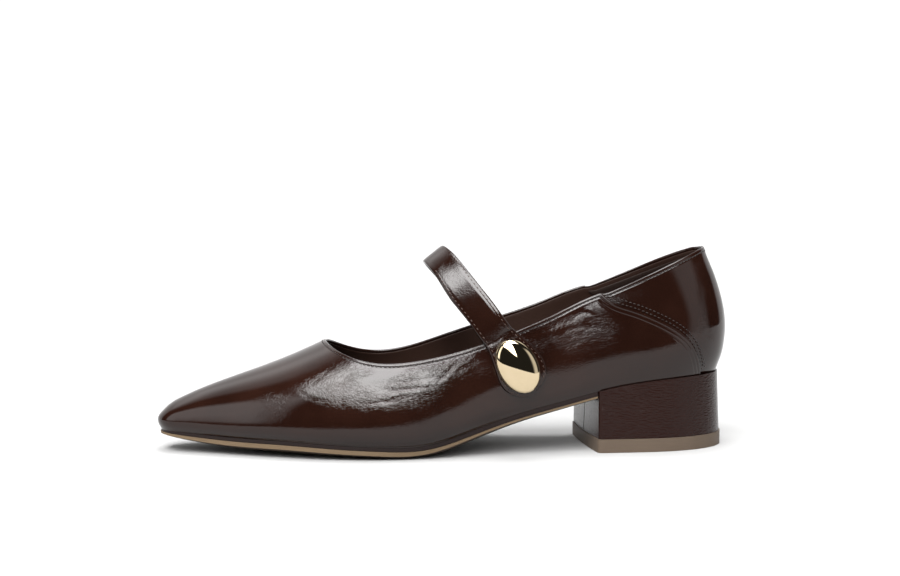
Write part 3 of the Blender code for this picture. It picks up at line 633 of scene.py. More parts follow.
# ---- Meshes
def add_piece(name, points, faces, material, replaces=(), marks=None, bevel=0.0):
    """A mesh that rides with the shoe; every face is turned outwards."""
    mesh = bpy.data.meshes.new(name)
    placed = points.reshape(-1, 3) + np.array([0.0, SIDE_SHIFT, 0.0])
    mesh.from_pydata(placed.tolist(), [], faces if isinstance(faces, list) else faces.tolist())
    shape = bmesh.new()
    shape.from_mesh(mesh)
    bmesh.ops.recalc_face_normals(shape, faces=shape.faces)
    shape.to_mesh(mesh)
    shape.free()
    mesh.shade_smooth()
    for key, values in (marks or {}).items():
        layer = mesh.attributes.new(key, "FLOAT", "POINT")
        layer.data.foreach_set("value", np.asarray(values, np.float32).ravel())
    mesh.materials.append(material)
    piece = bpy.data.objects.new(name, mesh)
    bpy.context.scene.collection.objects.link(piece)
    if bevel:
        rounding = piece.modifiers.new("rounding", "BEVEL")
        rounding.width = bevel
        rounding.segments = 3
        rounding.limit_method = "ANGLE"
        rounding.angle_limit = np.radians(40)
        rounding.harden_normals = True
    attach(piece, "root")
    if replaces:
        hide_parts(*replaces)


def grid_faces(number, wrap=False):
    """Quads of a grid of point numbers."""
    here, ahead = (number, np.roll(number, -1, axis=0)) if wrap else (number[:-1], number[1:])
    return np.stack([here[:, :-1], ahead[:, :-1], ahead[:, 1:], here[:, 1:]], -1).reshape(-1, 4)


def rolled_sheet(top, under, turns=4, notch=0.0):
    """A sheet between two grids of points, with round edges, and for each point its place in the grid.

    A notch runs round the edge where two layers meet."""
    columns, rows = top.shape[:2]
    number = np.arange(columns * rows).reshape(columns, rows)
    below = number + columns * rows
    points = [top.reshape(-1, 3), under.reshape(-1, 3)]
    origin = [number.ravel(), number.ravel()]
    faces = [grid_faces(number), grid_faces(below)]
    loop = np.concatenate([number[0], number[1:, -1], number[-1, -2::-1], number[-2:0:-1, 0]])
    count = 2 * columns * rows
    flat_top, flat_under = points
    column, row = np.divmod(loop, rows)
    inner = np.clip(column, 1, columns - 2) * rows + np.clip(row, 1, rows - 2)
    middle = (flat_top[loop] + flat_under[loop]) / 2
    half = (flat_top[loop] - flat_under[loop]) / 2
    away = flat_top[loop] - flat_top[inner]
    size = np.linalg.norm(half, axis=1, keepdims=True)
    away -= half * (away * half).sum(1, keepdims=True) / size**2
    away *= size / np.linalg.norm(away, axis=1, keepdims=True)
    rings = [loop]
    for turn in np.linspace(0, np.pi, turns + 2)[1:-1]:
        reach_out = np.sin(turn) * (1 - notch * (abs(turn - np.pi / 2) < 0.1))
        points.append(middle + half * np.cos(turn) + away * reach_out)
        origin.append(loop)
        rings.append(np.arange(len(loop)) + count)
        count += len(loop)
    rings.append(loop + columns * rows)
    faces.append(grid_faces(np.array(rings).T, wrap=True))
    return np.vstack(points), np.vstack(faces), np.concatenate(origin)


def settle(points, turns=5):
    """The points moved onto the last."""
    for _ in range(turns):
        slope = slope_of(points)
        points = points - field(points)[..., None] * slope / np.maximum((slope**2).sum(-1, keepdims=True), 1e-9)
    return points


def at_depth(column, depth):
    """The point this far down a column from the topline."""
    along = lengths(column)
    return between(along[-1] - depth, along, column)


def crinkle_at(points):
    """How crinkled the leather is at these points, from 0 to 1."""
    amount = np.full(points.shape[:-1], SMOOTH_SHARE)
    at, up = points[..., 0] / LENGTH + 0.5, points[..., 2] / LENGTH
    for side, middle, rise, length, height, strength in CRINKLES:
        away = ((at - middle) / length) ** 2 + ((up - rise) / height) ** 2
        there = np.clip(points[..., 1] * side / (2 * MM), -1, 1) * 0.5 + 0.5
        amount = np.maximum(amount, strength * np.exp(-(away**1.5)) * there)
    return amount


def ripple(points, amount):
    """Low uneven waves in the crinkled leather."""
    height = np.zeros(points.shape[:-1])
    for k in range(1, 27):
        turn, lean = k * 2.399963, k * 0.731
        ray = np.array([0.45 * np.cos(turn), 0.6 * np.sin(lean), np.sin(turn)])
        wave = (3.4 + 0.24 * k) * MM
        height += np.sin(points @ ray * (2 * np.pi / wave) + k * 1.7 + np.sin(points[..., 0] * 190 + k) * 1.3)
    return height * amount * 0.0025 * MM


def crease_depth(points):
    """Soft troughs with a low ridge beside them, as the tables place them."""
    relief = np.zeros(points.shape[:-1])
    flat = points.reshape(-1, 3)
    found = relief.reshape(-1)
    share = np.linspace(0, 1, 70)
    for side, width, depth, *path in CREASES:
        at, up = np.array(path[0::2]), np.array(path[1::2])
        line = np.stack([Curve([0, 0.5, 1], at)(share), Curve([0, 0.5, 1], up)(share)], -1)
        wobble = np.sin(share * 23 + at[0] * 90) * 0.5 + np.sin(share * 41 + up[0] * 300) * 0.3
        line = wall_point(along_x(line[:, 0]), line[:, 1] * LENGTH + wobble * 0.45 * MM, side)
        margin = 5 * MM
        near = np.nonzero(((flat > line.min(0) - margin) & (flat < line.max(0) + margin)).all(1))[0]
        if not len(near):
            continue
        away = np.linalg.norm(flat[near][:, None] - line[None], axis=2)
        k = np.argmin(away, axis=1)
        away = away[np.arange(len(near)), k] / (width * MM)
        fade = np.sin(np.pi * np.clip(share[k] * 0.96 + 0.02, 0, 1)) ** 0.7
        shape = -np.exp(-(away**2)) + 0.45 * np.exp(-(((away - 2.0) / 0.9) ** 2))
        found[near] += shape * fade * depth * CREASE_SHARE * MM
    return found.reshape(points.shape[:-1])


# ---- The upper
def dense_columns(columns):
    """More columns than the part has, with the finest along the quarter edge."""
    table = np.array(columns, float)
    table[:, 2] *= BENT
    return np.vstack([table[:-3], (0.9000, 0.7220, 30), (0.9410, 0.7626, 40), table[-1]])


def upper_half(table, feather, topline, side):
    """Columns of points on the last from toe and throat to the back, and the place of the seam column."""
    feather_along, topline_along = lengths(feather), lengths(topline)
    feet = np.interp(along_x(table[:, 0]), feather[:, 0], feather_along)
    tops = np.interp(along_x(table[:, 1]), topline[:, 0], topline_along)
    feet[-1], tops[-1] = feather_along[-1], topline_along[-1]
    ends = np.cumsum(table[:, 2])
    number = np.arange(int(ends[-1]) + 1)
    foot = spread(feather, np.interp(number, ends, feet))
    top = spread(topline, np.interp(number, ends, tops))
    seam = int(ends[-2])
    dense = np.linspace(0, 1, 60)
    guess = foot[:, None] + (top - foot)[:, None] * dense[None, :, None]
    line = seam_line(top[seam], foot[seam], side, dense)
    before = smooth_step((number - ends[-4]) / (ends[-3] - ends[-4]))
    after = smooth_step((ends[-1] - number) / (ends[-1] - ends[-2]))
    weight = np.where(number <= seam, before, after)
    guess = guess + weight[:, None, None] * (line - guess[seam])[None]
    x = np.clip(guess[..., 0], TOE_AXIS, BACK_AXIS)
    low = SECTION["floor"](x) + NOSE_DEPTH
    share = smooth_step((guess[..., 0] - along_x(0.27)) / (along_x(0.46) - along_x(0.27)))
    start = np.stack([x, 0 * x, low + (guess[..., 2] - low) * share], -1)
    found = reach(start, guess, halvings=26)
    found[:, 0], found[:, -1] = foot, top
    return np.stack([spread(column, row_marks(lengths(column)[-1])) for column in found]), seam


TOP_ROWS = np.array([2.2, 1.8, 1.5, 1.3, 1.15, 1.0, 0.85, 0.65, 0.42, 0.2, 0.0]) * MM
LOW_ROWS = 56
ROWS = LOW_ROWS + len(TOP_ROWS)


def row_marks(total):
    """Distances up a column: even steps, then fine ones along the folded topline."""
    return np.concatenate([np.linspace(0, total - TOP_ROWS[0] - 0.5 * MM, LOW_ROWS), total - TOP_ROWS])


halves = [
    upper_half(dense_columns(COLUMNS), feather_half(side, 360), topline_half(rows, side, 600), side)
    for side, rows in ((-1, OUTER_TOPLINE), (1, INNER_TOPLINE))
]
seam = halves[0][1]
outer_half, inner_half = halves[0][0], halves[1][0]


def level_foot(normal):
    normal[:, 0, 2] = 0
    return unit(normal)


PATENT = patent_leather("patent_leather", (0.0100, 0.0035, 0.0022), (0.0150, 0.0055, 0.0035), 0.040, 0.06)
# Dark and light colour, gloss, grain depth, shine and the grain's stretch
HEEL_LEATHER = grained_leather(
    "heel_leather", (0.0098, 0.0029, 0.0019), (0.0185, 0.0058, 0.0040), 0.10, 0.00020, 0.20, (0.22, 0.5, 1.0)
)
LINING_LEATHER = grained_leather(
    "lining_leather", (0.021, 0.0096, 0.0066), (0.035, 0.0172, 0.0116), 0.42, 0.00006, 0.25
)
SOCK_LEATHER = grained_leather(
    "sock_leather", (0.012, 0.0062, 0.0045), (0.021, 0.0112, 0.0078), 0.50, 0.00006, 0.25
)
# Dark and light colour, gloss, shine and the painted shade colour for where it faces down
EDGE_PAINT = moulded_edge("edge_paint", (0.0088, 0.0040, 0.0034), (0.0155, 0.0075, 0.0064), 0.34, 0.26)
# The outsole's underside gets a dark brown as painted shade; the rubber itself is tan all over
SOLE_EDGE = moulded_edge(
    "sole_edge", (0.118, 0.080, 0.045), (0.172, 0.119, 0.070), 0.50, 0.30, (0.045, 0.030, 0.020)
)
HEEL_RUBBER = moulded_edge("heel_rubber", (0.080, 0.058, 0.041), (0.116, 0.084, 0.060), 0.50, 0.30)
BUTTON_METAL = polished_metal("button_metal", (0.70, 0.575, 0.385), (0.66, 0.54, 0.355))
THREAD = waxed_thread("waxed_thread", (0.0035, 0.0018, 0.0013), (0.010, 0.0055, 0.0040))
STRAP_THREAD = waxed_thread("strap_thread", (0.024, 0.0115, 0.008), (0.068, 0.037, 0.026))


# In millimetres: the folded edge, its groove with the stitches, and the soft rise beside it
EDGE_ROW = 1.15
SEAM_ROWS = (EDGE_ROW, 2.95)
BEAD_RISE, BEAD_WIDTH, GROOVE_DEPTH, PILLOW_RISE = 0.10, 0.72, 0.15, 0.04


def folded_edge(away, rows=(EDGE_ROW,)):
    """Height of the leather this far from a folded edge: a bead, and a groove under each row of stitches."""
    away = away / MM
    height = BEAD_RISE * (1 - smooth_step((away - BEAD_WIDTH) / 0.36))
    for row in rows:
        height = height - GROOVE_DEPTH * np.exp(-(((away - row) / 0.24) ** 2))
        height = height + PILLOW_RISE * np.exp(-(((away - row - 0.65) / 0.4) ** 2))
    return height * MM


def below_topline(ring):
    """How far each point lies down its column from the topline."""
    return np.stack([lengths(column)[-1] - lengths(column) for column in ring])


def near_line(points, line, far):
    """Distance from the line, up to far."""
    flat = points.reshape(-1, 3)
    found = np.full(len(flat), far)
    near = np.nonzero(((flat > line.min(0) - far) & (flat < line.max(0) + far)).all(1))[0]
    start, step = line[:-1], np.diff(line, axis=0)
    for part in np.array_split(near, max(len(near) // 4000, 1)):
        off = flat[part][:, None] - start[None]
        share = np.clip((off * step).sum(2) / (step**2).sum(1), 0, 1)
        away = np.linalg.norm(off - step[None] * share[..., None], axis=2)
        found[part] = np.minimum(away.min(1), far)
    return found.reshape(points.shape[:-1])


def add_leather(name, ring, edges, flesh, covers):
    """A sheet of patent leather on the last, with its creases, crinkle and folded edges."""
    normal = level_foot(outward(ring))
    crinkle = crinkle_at(ring)
    calm = 0.2 + 0.8 * smooth_step(below_topline(ring) / (3 * MM))
    lift = (crease_depth(ring) + ripple(ring, crinkle)) * calm + edges
    top = ring + normal * lift[..., None]
    points, faces, origin = rolled_sheet(top, ring - normal * flesh)
    add_piece(name, points, faces, PATENT, covers, {"crinkle": crinkle.ravel()[origin]})


# Vamp and quarters: one sheet from the quarter edge on one side, round the toe, to the other
TUCK = 36
LAP_COLUMNS = 30
FULL_FLESH = WALL - LINING - 0.1 * MM
front = np.concatenate([inner_half[seam:0:-1], outer_half[: seam + 1]])
front_number = np.concatenate([np.arange(seam, 0, -1), np.arange(seam + 1)])
down = below_topline(front)
seam_away = np.minimum(*[near_line(front, half[seam], 6 * MM) for half in (outer_half, inner_half)])
edges = np.where(down < seam_away, folded_edge(down), folded_edge(seam_away, SEAM_ROWS))
flesh = LEATHER + (FULL_FLESH - LEATHER) * smooth_step((seam - TUCK - front_number) / LAP_COLUMNS)
add_leather("vamp_and_quarters", front, edges, flesh[:, None, None], ("upper",))

# Counter: the back of the upper, tucked under the quarters
back = np.concatenate([outer_half[seam - TUCK :], inner_half[-2 : seam - TUCK - 1 : -1]])
back_end = np.arange(len(outer_half) - 2, seam - TUCK - 1, -1)
back_number = np.concatenate([np.arange(seam - TUCK, len(outer_half)), back_end])
behind = lengths(outer_half[:, ROWS // 2])
behind = behind - behind[seam]
sunk = (SEAM_STEP + 0.03 * MM) * (1 - smooth_step(behind[back_number] / SEAM_FADE))
add_leather("counter", back, folded_edge(below_topline(back)) - sunk[:, None], FULL_FLESH, ())


def inside_sheet(ring, first, last, drop):
    """A sheet inside the upper, from one depth to another under the outside, its top edge below the topline."""
    share = np.linspace(0, 1, 34) ** 0.9
    cut = np.stack([spread(column, share * (lengths(column)[-1] - drop)) for column in ring])
    normal = level_foot(outward(cut))
    return rolled_sheet(cut - normal * first, cut - normal * last, turns=3)


ring = np.concatenate([outer_half[::2], inner_half[-1:0:-2][1:], outer_half[:1]])
points, faces, _ = inside_sheet(ring, WALL - LINING, WALL, 0.9 * MM)
add_piece("lining", points, faces, LINING_LEATHER)
grip_start = int(seam * 0.985)
ring = np.concatenate([outer_half[grip_start::2], inner_half[-2:grip_start:-2]])
points, faces, _ = inside_sheet(ring, WALL + 0.02 * MM, WALL + 0.45 * MM, 3.0 * MM)
add_piece("heel_grip", points, faces, SOCK_LEATHER)


# ---- Stitches
def stitch_row(line, outside, pitch, length, thick, rise=0.0, slant=0.12):
    """Small sunk capsules along a row of points; outside holds the unit normals there."""
    along = lengths(line)
    count = int(along[-1] // pitch)
    middle = (np.arange(count) + 0.5) * pitch + (along[-1] - count * pitch) / 2
    centre = spread(line, middle)
    ahead = unit(spread(line, middle + pitch * 0.4) - spread(line, middle - pitch * 0.4))
    up = unit(between(middle, along, outside))
    across = np.cross(up, ahead)
    ahead = ahead + across * slant
    turn = np.linspace(0, 2 * np.pi, 8, endpoint=False)
    rings = []
    for share in (-1.0, -0.88, -0.55, 0.0, 0.55, 0.88, 1.0):
        wide = thick / 2 * np.sqrt(max(1 - abs(share) ** 3.0, 0.02))
        arch = thick * 0.30 * (1 - share**2)
        middle_line = centre + ahead * (share * length / 2) + up * (arch - thick * 0.22 + rise)
        circle = np.cos(turn)[None, :, None] * across[:, None] + np.sin(turn)[None, :, None] * up[:, None]
        rings.append(middle_line[:, None] + circle * wide)
    rings = np.stack(rings, 1)
    number = np.arange(rings.size // 3).reshape(rings.shape[:3])
    faces = []
    for one in number:
        faces += grid_faces(one.T, wrap=True).tolist() + [one[0].tolist(), one[-1].tolist()]
    return rings.reshape(-1, 3), faces


def add_stitches(name, rows, thread):
    points, faces, count = [], [], 0
    for row_points, row_faces in rows:
        points.append(row_points)
        faces += [[k + count for k in face] for face in row_faces]
        count += len(row_points)
    add_piece(name, np.vstack(points), faces, thread)


def beside_line(line, distance):
    """The row of points moved sideways on the last."""
    aside = unit(np.cross(outward(line), np.gradient(line, axis=0)))
    return settle(line + aside * distance)


PITCH, STITCH, THREAD_SIZE, SUNK = 1.9 * MM, 1.25 * MM, 0.40 * MM, 0.04 * MM
clear = slice(TUCK + 3, -TUCK - 3)
rows = []
for columns, sink in ((front[::2], 0.0), (back[clear], sunk[clear, None])):
    ring = np.stack([at_depth(column, EDGE_ROW * MM) for column in columns])
    shift = outward(ring)
    rows.append(stitch_row(ring - shift * sink, shift, PITCH, STITCH, THREAD_SIZE, -SUNK))
add_stitches("topline_stitches", rows, THREAD)
rows = []
for side, half in ((-1, outer_half), (1, inner_half)):
    edge = half[seam]
    along = lengths(edge)
    edge = spread(edge, np.linspace(along[-1] * 0.02, along[-1] - 1.6 * MM, 160))
    for gap in SEAM_ROWS:
        line = beside_line(edge, gap * MM * side)
        rows.append(stitch_row(line, outward(line), PITCH, STITCH, THREAD_SIZE, -SUNK))
add_stitches("quarter_seam_stitches", rows, THREAD)


# ---- Soles and heel
def edge_line(side, inset):
    """The feather edge on one side, moved in by the inset."""
    points = feather_half(side, 360)
    ahead = unit(np.gradient(points[:, :2], axis=0))
    points[:, 0] += side * ahead[:, 1] * inset
    points[:, 1] -= side * ahead[:, 0] * inset
    return points


def run_between(line, first, last, count, ends):
    """Points along the line between two distances, closer together at the ends named."""
    share = np.linspace(0, 1, count)
    wave = np.sin(2 * np.pi * share) / (2 * np.pi)
    half = np.sin(np.pi * share) / np.pi
    if ends == "both":
        share = share - 0.6 * wave
    elif ends == "first":
        share = share - 0.6 * (half * (1 - share))
    else:
        share = share + 0.6 * (half * share)
    return spread(line, first + (last - first) * share)


def slab(sides, across, top, bottom, bottom_shift=None, top_shift=None):
    """A closed plate through rows across the shoe, with its own upper and lower heights."""
    outer, inner = sides
    plan = outer[:, None] + (inner - outer)[:, None] * across[None, :, None]
    share = np.broadcast_to(across, plan.shape[:2])
    upper, lower = plan.copy(), plan.copy()
    if bottom_shift is not None:
        lower = lower + bottom_shift(lower, share)
    if top_shift is not None:
        upper = upper + top_shift(upper, share)
    upper[..., 2] = top(upper[..., 0], share)
    lower[..., 2] = bottom(lower[..., 0], share)
    rows, columns = share.shape
    number = np.arange(rows * columns).reshape(rows, columns)
    under = number + rows * columns
    rim = np.concatenate([number[:, 0], number[-1, 1:], number[-2::-1, -1], number[0, -2:0:-1]])
    side = np.stack([rim, rim + rows * columns], 1)
    faces = np.vstack([grid_faces(number), grid_faces(under), grid_faces(side, wrap=True)])
    return np.vstack([upper.reshape(-1, 3), lower.reshape(-1, 3)]), faces


def dip(x, share):
    """How far the middle of the last's bottom sits below its feather edge."""
    end = smooth_step((LENGTH / 2 - np.abs(x)) / DIP_FADE)
    return SOLE_DIP * end * (1 - (2 * share - 1) ** 2)


def breast_x(side):
    return along_x(BREAST_AT - side * BREAST_TWIST / 2)


def distance_at(line, x):
    return np.interp(x, line[:, 0], lengths(line))


FLOOR = SECTION["floor"]
BROWN, TAN, DROP = SOLE_CURVE["brown"], SOLE_CURVE["tan"], SOLE_CURVE["drop"]
WIDE = np.linspace(0, 1, 21)
TIP_GAP = WALL * 1.2


def sag(x, share):
    edge = np.clip((1 - (2 * share - 1) ** 2) / (1 - (1 - 2 * TREAD_SHARE) ** 2), 0, 1)
    return DROP(x) * edge


def brown_top(x, share):
    return FLOOR(x) - CLEARANCE - dip(x, share)


def brown_bottom(x, share):
    return FLOOR(x) - CLEARANCE - BROWN(x) - sag(x, share) * 0.5 - dip(x, share) * 0.5


def tan_top(x, share):
    return brown_bottom(x, share) - CLEARANCE / 3


def tan_bottom(x, share):
    return np.maximum(FLOOR(x) - 2 * CLEARANCE - BROWN(x) - TAN(x) - sag(x, share), 0.0)


for name, node, inset, top_of, bottom_of, material, slot, rounding in (
    ("sole_edge_band", "midsole", MIDSOLE_INSET, brown_top, brown_bottom, EDGE_PAINT, "edge_leather", 0.22 * MM),
    ("outsole_unit", "outsole", OUTSOLE_INSET, tan_top, tan_bottom, SOLE_EDGE, "outsole_rubber", 0.18 * MM),
):
    sides = []
    for side in (-1, 1):
        line = edge_line(side, inset)
        end = distance_at(line, breast_x(side) - BREAST_GAP)
        sides.append(run_between(line, TIP_GAP, end, 200, "first"))
    points, faces = slab(sides, WIDE, top_of, bottom_of)
    add_piece(name, points, faces, material, (node,), bevel=rounding)

sides = []
for side in (-1, 1):
    line = edge_line(side, WALL + INSOLE_INSET)
    sides.append(run_between(line, TIP_GAP, lengths(line)[-1] - TIP_GAP, 160, "both"))
points, faces = slab(
    sides, WIDE,
    lambda x, share: FLOOR(x) + INSOLE_THICKNESS - dip(x, share),
    lambda x, share: FLOOR(x) - dip(x, share),
)
add_piece("insole_sock", points, faces, SOCK_LEATHER, ("insole",), bevel=0.7 * MM)


def heel_sides(grow):
    sides = []
    for side in (-1, 1):
        line = edge_line(side, -grow)
        total = lengths(line)[-1]
        first = distance_at(line, breast_x(side))
        bend = np.linspace(0, np.pi / 2, BEND_ROWS)
        corner = spread(line, first + CORNER * (1 - np.cos(bend)))
        corner[:, 1] -= side * CORNER * (1 - np.sin(bend))
        corner[:, 0] = corner[0, 0] + CORNER * (1 - np.cos(bend))
        run = run_between(line, first + CORNER, total - CORNER, 60, "last")[1:]
        sides.append(np.vstack([corner, run]))
    return sides


BEND_ROWS = 8
FOLD = 0.004
HEEL_WIDE = np.linspace(0, 1, 17)
HEEL_ACROSS = np.sort(np.concatenate([HEEL_WIDE, 0.5 + np.array([-3, -2, -1, 1, 2, 3]) * FOLD]))


def wrap_seam(points, share):
    """The narrow groove where the heel's cover meets, up the middle of the breast."""
    moved = np.zeros_like(points)
    groove = np.exp(-(((share[0] - 0.5) / (FOLD * 1.1)) ** 2))
    moved[0, :, 0] = groove * 0.55 * MM
    moved[1, :, 0] = groove * 0.2 * MM
    return moved


def back_flare(x):
    return smooth_step((x - along_x(0.9)) / (LENGTH * 0.1)) * HEEL_FLARE


def breast_swell(points, share):
    """How far the front of the heel bows forward."""
    moved = np.zeros_like(points)
    ahead = np.zeros(len(points))
    ahead[:BEND_ROWS] = -BREAST_BULGE * np.linspace(1, 0, BEND_ROWS)
    moved[..., 0] = ahead[:, None] * (1 - (2 * share - 1) ** 2)
    return moved


def heel_swell(points, share):
    moved = breast_swell(points, share) + wrap_seam(points, share)
    moved[..., 0] += back_flare(points[..., 0])
    return moved


sides = heel_sides(HEEL_GROW)
points, faces = slab(
    sides, HEEL_ACROSS,
    lambda x, share: FLOOR(np.minimum(x, along_x(1.0))) - CLEARANCE - dip(x, share),
    lambda x, share: TOP_PIECE_HEIGHT + CLEARANCE / 2 + 0 * x,
    heel_swell, wrap_seam,
)
add_piece("wrapped_heel", points, faces, HEEL_LEATHER, ("heel",), bevel=0.35 * MM)
sides = heel_sides(HEEL_GROW + TOP_PIECE_LIP)
for rows in sides:
    rows[:BEND_ROWS, 0] -= TOP_PIECE_LIP * np.linspace(1, 0, BEND_ROWS)
    rows[:, 0] += back_flare(rows[:, 0])
points, faces = slab(
    sides, HEEL_WIDE,
    lambda x, share: TOP_PIECE_HEIGHT + 0 * x,
    lambda x, share: 0 * x,
    breast_swell, breast_swell,
)
add_piece("heel_top_piece", points, faces, HEEL_RUBBER, ("top_piece",), bevel=0.25 * MM)


# ---- Strap and button
# Columns: at, up, breadth, depth
STRAP_CREASES = ((0.5905, 0.2085, 0.6, 0.16), (0.5975, 0.1950, 0.6, 0.13))
table = np.array(STRAP, float)
centre = np.stack([along_x(table[:, 0]), table[:, 1] * HALF, table[:, 2] * LENGTH], -1)
steps = lengths(centre)
place = np.linspace(0, steps[-1], 230)
spine = np.stack([Curve(steps, centre[:, k])(place) for k in range(3)], -1)
width = np.interp(place, steps, table[:, 3]) * STRAP_WIDTH
TAB_ROUND = STRAP_WIDTH * 0.887
TAB_WIDTH = 1.76
round_end = np.maximum(np.sqrt(1 - (1 - np.clip(place / TAB_ROUND, 0, 1)) ** 2), 0.16)
width = np.where(place < TAB_ROUND, round_end * STRAP_WIDTH * TAB_WIDTH, width)
lay = smooth_step(np.interp(place, steps, table[:, 4]))
strap_lift = np.interp(place, steps, table[:, 5])
lean = np.array(STRAP_LEAN) + (np.array(TAB_LEAN) - STRAP_LEAN) * (lay * (strap_lift > 0))[:, None]
lean[:, 1] += np.interp(place, steps, table[:, 6])
lean = unit(lean)
FLAT_SHARE = 0.465  # the rest of half the width is the round edge
edge_share = np.sin(np.linspace(-np.pi / 2, np.pi / 2, 29))
STRAP_ACROSS = edge_share * FLAT_SHARE
sheet = spine[:, None] + lean[:, None] * (width[:, None] * STRAP_ACROSS[None])[..., None]
side_of = np.where(strap_lift > 0, -1.0, 1.0)
wall = np.stack([wall_point(row[:, 0], row[:, 2], s) for row, s in zip(sheet, side_of)])
wall_normal = outward(wall)
gap = np.where(strap_lift > 0, CLEARANCE / 3, -(WALL + CLEARANCE + STRAP_THICKNESS))
low = sheet + (wall + wall_normal * gap[:, None, None] - sheet) * lay[:, None, None]
facing = unit(np.cross(np.gradient(low, axis=0), lean[:, None]))
facing = facing * (-1 if (facing * wall_normal).sum(-1).mean() < 0 else 1)
edge_share = np.abs(edge_share)
crown = 1 - 0.09 * smooth_step((edge_share - 0.84) / 0.16)
stitch_dent = 0.05 * np.exp(-(((edge_share - 0.82) / 0.05) ** 2))
bends = np.exp(-(((place - steps[12]) / (9 * MM)) ** 2)) + np.exp(-(((place - steps[8]) / (6 * MM)) ** 2))
strap_crinkle = 0.10 + 0.45 * np.clip(bends, 0, 1)
strap_crinkle = np.broadcast_to(strap_crinkle[:, None], low.shape[:2])
relief = ripple(low, strap_crinkle)
for at, up, breadth, depth in STRAP_CREASES:
    spot = np.array([along_x(at), 0.0, up * LENGTH])
    away = (low[..., 0] - spot[0]) * 0.62 - (low[..., 2] - spot[2]) * 0.78
    away += np.sin(STRAP_ACROSS * 9)[None, :] * 0.4 * MM
    relief = relief - depth * MM * np.exp(-((away / (breadth * MM)) ** 2))
upper_face = low + facing * (STRAP_THICKNESS * (crown - stitch_dent)[None] + relief)[..., None]
under_face = low + facing * (STRAP_THICKNESS * 0.12)
points, faces, origin = rolled_sheet(upper_face, under_face, turns=5, notch=0.45)
marks = {"crinkle": strap_crinkle.ravel()[origin]}
add_piece("instep_strap", points, faces, PATENT, ("strap",), marks)

rows = []
shown = np.nonzero((place > 2.0 * MM) & (place < steps[12] + 2 * MM))[0]
STRAP_INSET = 1.25 * MM
for sign in (-1, 1):
    share = np.clip(0.5 - STRAP_INSET / np.maximum(width, 3 * MM), 0, 0.5) * sign
    line, outside = [], []
    for k in shown:
        line.append(between(share[k], STRAP_ACROSS, upper_face[k]))
        outside.append(between(share[k], STRAP_ACROSS, facing[k]))
    rows.append(stitch_row(np.array(line), np.array(outside), 2.3 * MM, 1.15 * MM, 0.38 * MM))
add_stitches("strap_stitches", rows, STRAP_THREAD)

# Domed button
tilt = np.radians(BUTTON_TILT)
face_normal = np.array([0.0, -np.cos(tilt), np.sin(tilt)])
wide_way = unit(np.array(TAB_LEAN) - face_normal * (face_normal @ TAB_LEAN))
long_way = np.cross(wide_way, face_normal)
x, z = along_x(BUTTON_AT), BUTTON_UP * LENGTH
middle = wall_point(np.array([x]), np.array([z]), -1)
base_lift = CLEARANCE * 1.4 + STRAP_THICKNESS
turn = np.linspace(0, 2 * np.pi, 96, endpoint=False)
flat = np.cos(turn)[:, None] * long_way * BUTTON_LENGTH / 2 + np.sin(turn)[:, None] * wide_way * BUTTON_WIDTH / 2
profile = [(0.95, 0.0), (0.98, 0.02), (0.995, 0.07), (1.0, 0.15), (1.004, 0.30), (1.004, 0.40)]
profile += [(size, 1 - 0.34 * size**2 - 0.22 * size**14) for size in np.sin(np.linspace(np.pi / 2, 0.04, 34))]
rings = []
for size, rise in profile:
    spot = middle + flat * size
    foot = wall_point(spot[:, 0], spot[:, 2], -1)
    foot = foot + outward(foot) * base_lift
    level = middle + face_normal * base_lift + flat * size
    rings.append(foot + (level - foot) * smooth_step(rise / 0.5) + face_normal * BUTTON_HEIGHT * rise)
rings = np.stack(rings)
number = np.arange(rings.size // 3).reshape(rings.shape[:2])
faces = grid_faces(number.T, wrap=True).tolist() + [number[0].tolist(), number[-1].tolist()]
add_piece("domed_button", rings.reshape(-1, 3), faces, BUTTON_METAL, ("button",))


# ---- Studio
def direction(azimuth, height):
    """Unit vector towards the studio: azimuth 0 is the camera's side and 90 the heel's."""
    a, e = np.radians(azimuth), np.radians(height)
    return np.array([np.sin(a) * np.cos(e), -np.cos(a) * np.cos(e), np.sin(e)])


def panel(paint, ray, corners):
    """1 inside the panel with these corners in the sky, 0 outside, with a soft border."""
    spots = [direction(*corner[:2]) for corner in corners]
    inside = sum(spots)
    share = None
    for k, spot in enumerate(spots):
        edge = np.cross(spot, spots[(k + 1) % len(spots)])
        edge = unit(edge) * (1 if edge @ inside > 0 else -1)
        values = {0: ray, 1: tuple(edge)}
        dot = paint.node("ShaderNodeVectorMath", {"operation": "DOT_PRODUCT"}, values, out="Value")
        one = dot.step(-corners[k][2], corners[k][2])
        share = one if share is None else share * one
    return share


# Light panels: brightness, then each corner's azimuth and height, and the softness of the edge after it
PANELS = (
    (15.0, (-80, 66, 0.08), (-62, 54, 0.05), (-31, 40, 0.04), (0, 22, 0.03), (9, 19, 0.02),
     (7, 34, 0.02), (0, 60, 0.04), (-60, 72, 0.04), (-80, 71, 0.08)),
    (0.8, (-155, 33, 0.08), (-112, 46, 0.10), (-112, 60, 0.08), (-155, 58, 0.08)),
    (12.0, (0, 60, 0.05), (60, 62, 0.05), (60, 80, 0.05), (-25, 80, 0.05)),
    (0.75, (42, -12, 0.08), (72, -12, 0.08), (72, 38, 0.10), (42, 38, 0.08)),
    (1.9, (-78, 6, 0.06), (-47, 6, 0.08), (-47, 48, 0.06), (-78, 48, 0.06)),
    (14.0, (-130, 69, 0.06), (180, 67, 0.06), (130, 69, 0.06), (80, 75, 0.06), (-80, 75, 0.06)),
)
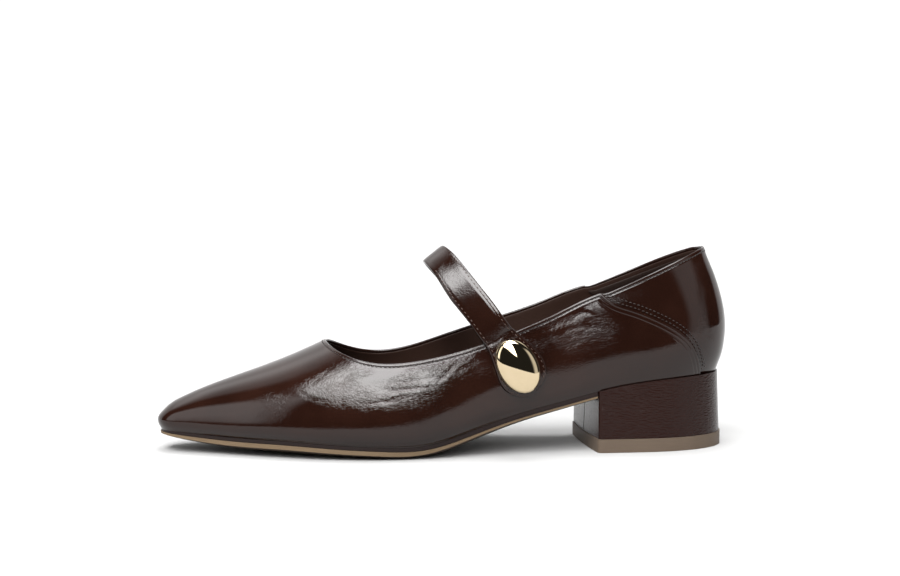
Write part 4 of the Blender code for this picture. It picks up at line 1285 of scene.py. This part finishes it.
world = bpy.data.worlds.new("studio")
bpy.context.scene.world = world
paint = Paint(world)
ray = paint.node("ShaderNodeTexCoord", out="Generated")
parts = paint.node("ShaderNodeSeparateXYZ", None, {0: ray}, out=1)
height = paint.node("ShaderNodeSeparateXYZ", None, {0: ray}, out=2)
light = 0.02 + parts.step(0.28, 0.42) * (1 - height.step(0.70, 0.85))
for brightness, *corners in PANELS:
    light = light + panel(paint, ray, corners) * brightness
seen = paint.node("ShaderNodeLightPath", out="Is Camera Ray")
strength = light * (1 - seen) + seen * 1.1
glow = paint.node("ShaderNodeBackground", None, {"Color": (1.0, 0.998, 0.995, 1.0), "Strength": strength})
paint.node("ShaderNodeOutputWorld", None, {"Surface": glow})

paint = new_paint("pale_floor")
tint = paint.colour(paint.noise(0.02, 2.0), (0.40, 0.40, 0.40), (0.41, 0.41, 0.41))
mesh = bpy.data.meshes.new("floor")
FAR = 6.0
mesh.from_pydata([(-FAR, -FAR, 0), (FAR, -FAR, 0), (FAR, FAR, 0), (-FAR, FAR, 0)], [], [(0, 1, 2, 3)])
mesh.materials.append(paint.finish(Base_Color=tint, Roughness=0.9, Specular_IOR_Level=0.1))
floor = bpy.data.objects.new("floor", mesh)
floor.location.z = -0.05 * MM
bpy.context.scene.collection.objects.link(floor)
floor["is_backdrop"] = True

# The photo's view: place in metres, turn in degrees
LENS = 60.44
CAMERA_AT = (-0.05335, -0.67790 + SIDE_SHIFT, 0.125)
CAMERA_TURN = (85.48, 0.0, -4.72)
camera = bpy.data.objects.new("camera", bpy.data.cameras.new("camera"))
bpy.context.scene.collection.objects.link(camera)
camera.data.sensor_fit = "HORIZONTAL"
camera.data.sensor_width = 36.0
camera.data.lens = LENS
camera.location = CAMERA_AT
camera.rotation_euler = np.radians(CAMERA_TURN)
camera.data.clip_start, camera.data.clip_end = 0.02, 60.0
bpy.context.scene.camera = camera
bpy.context.scene.view_settings.view_transform = "Standard"
bpy.context.scene.view_settings.look = "None"

low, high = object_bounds()
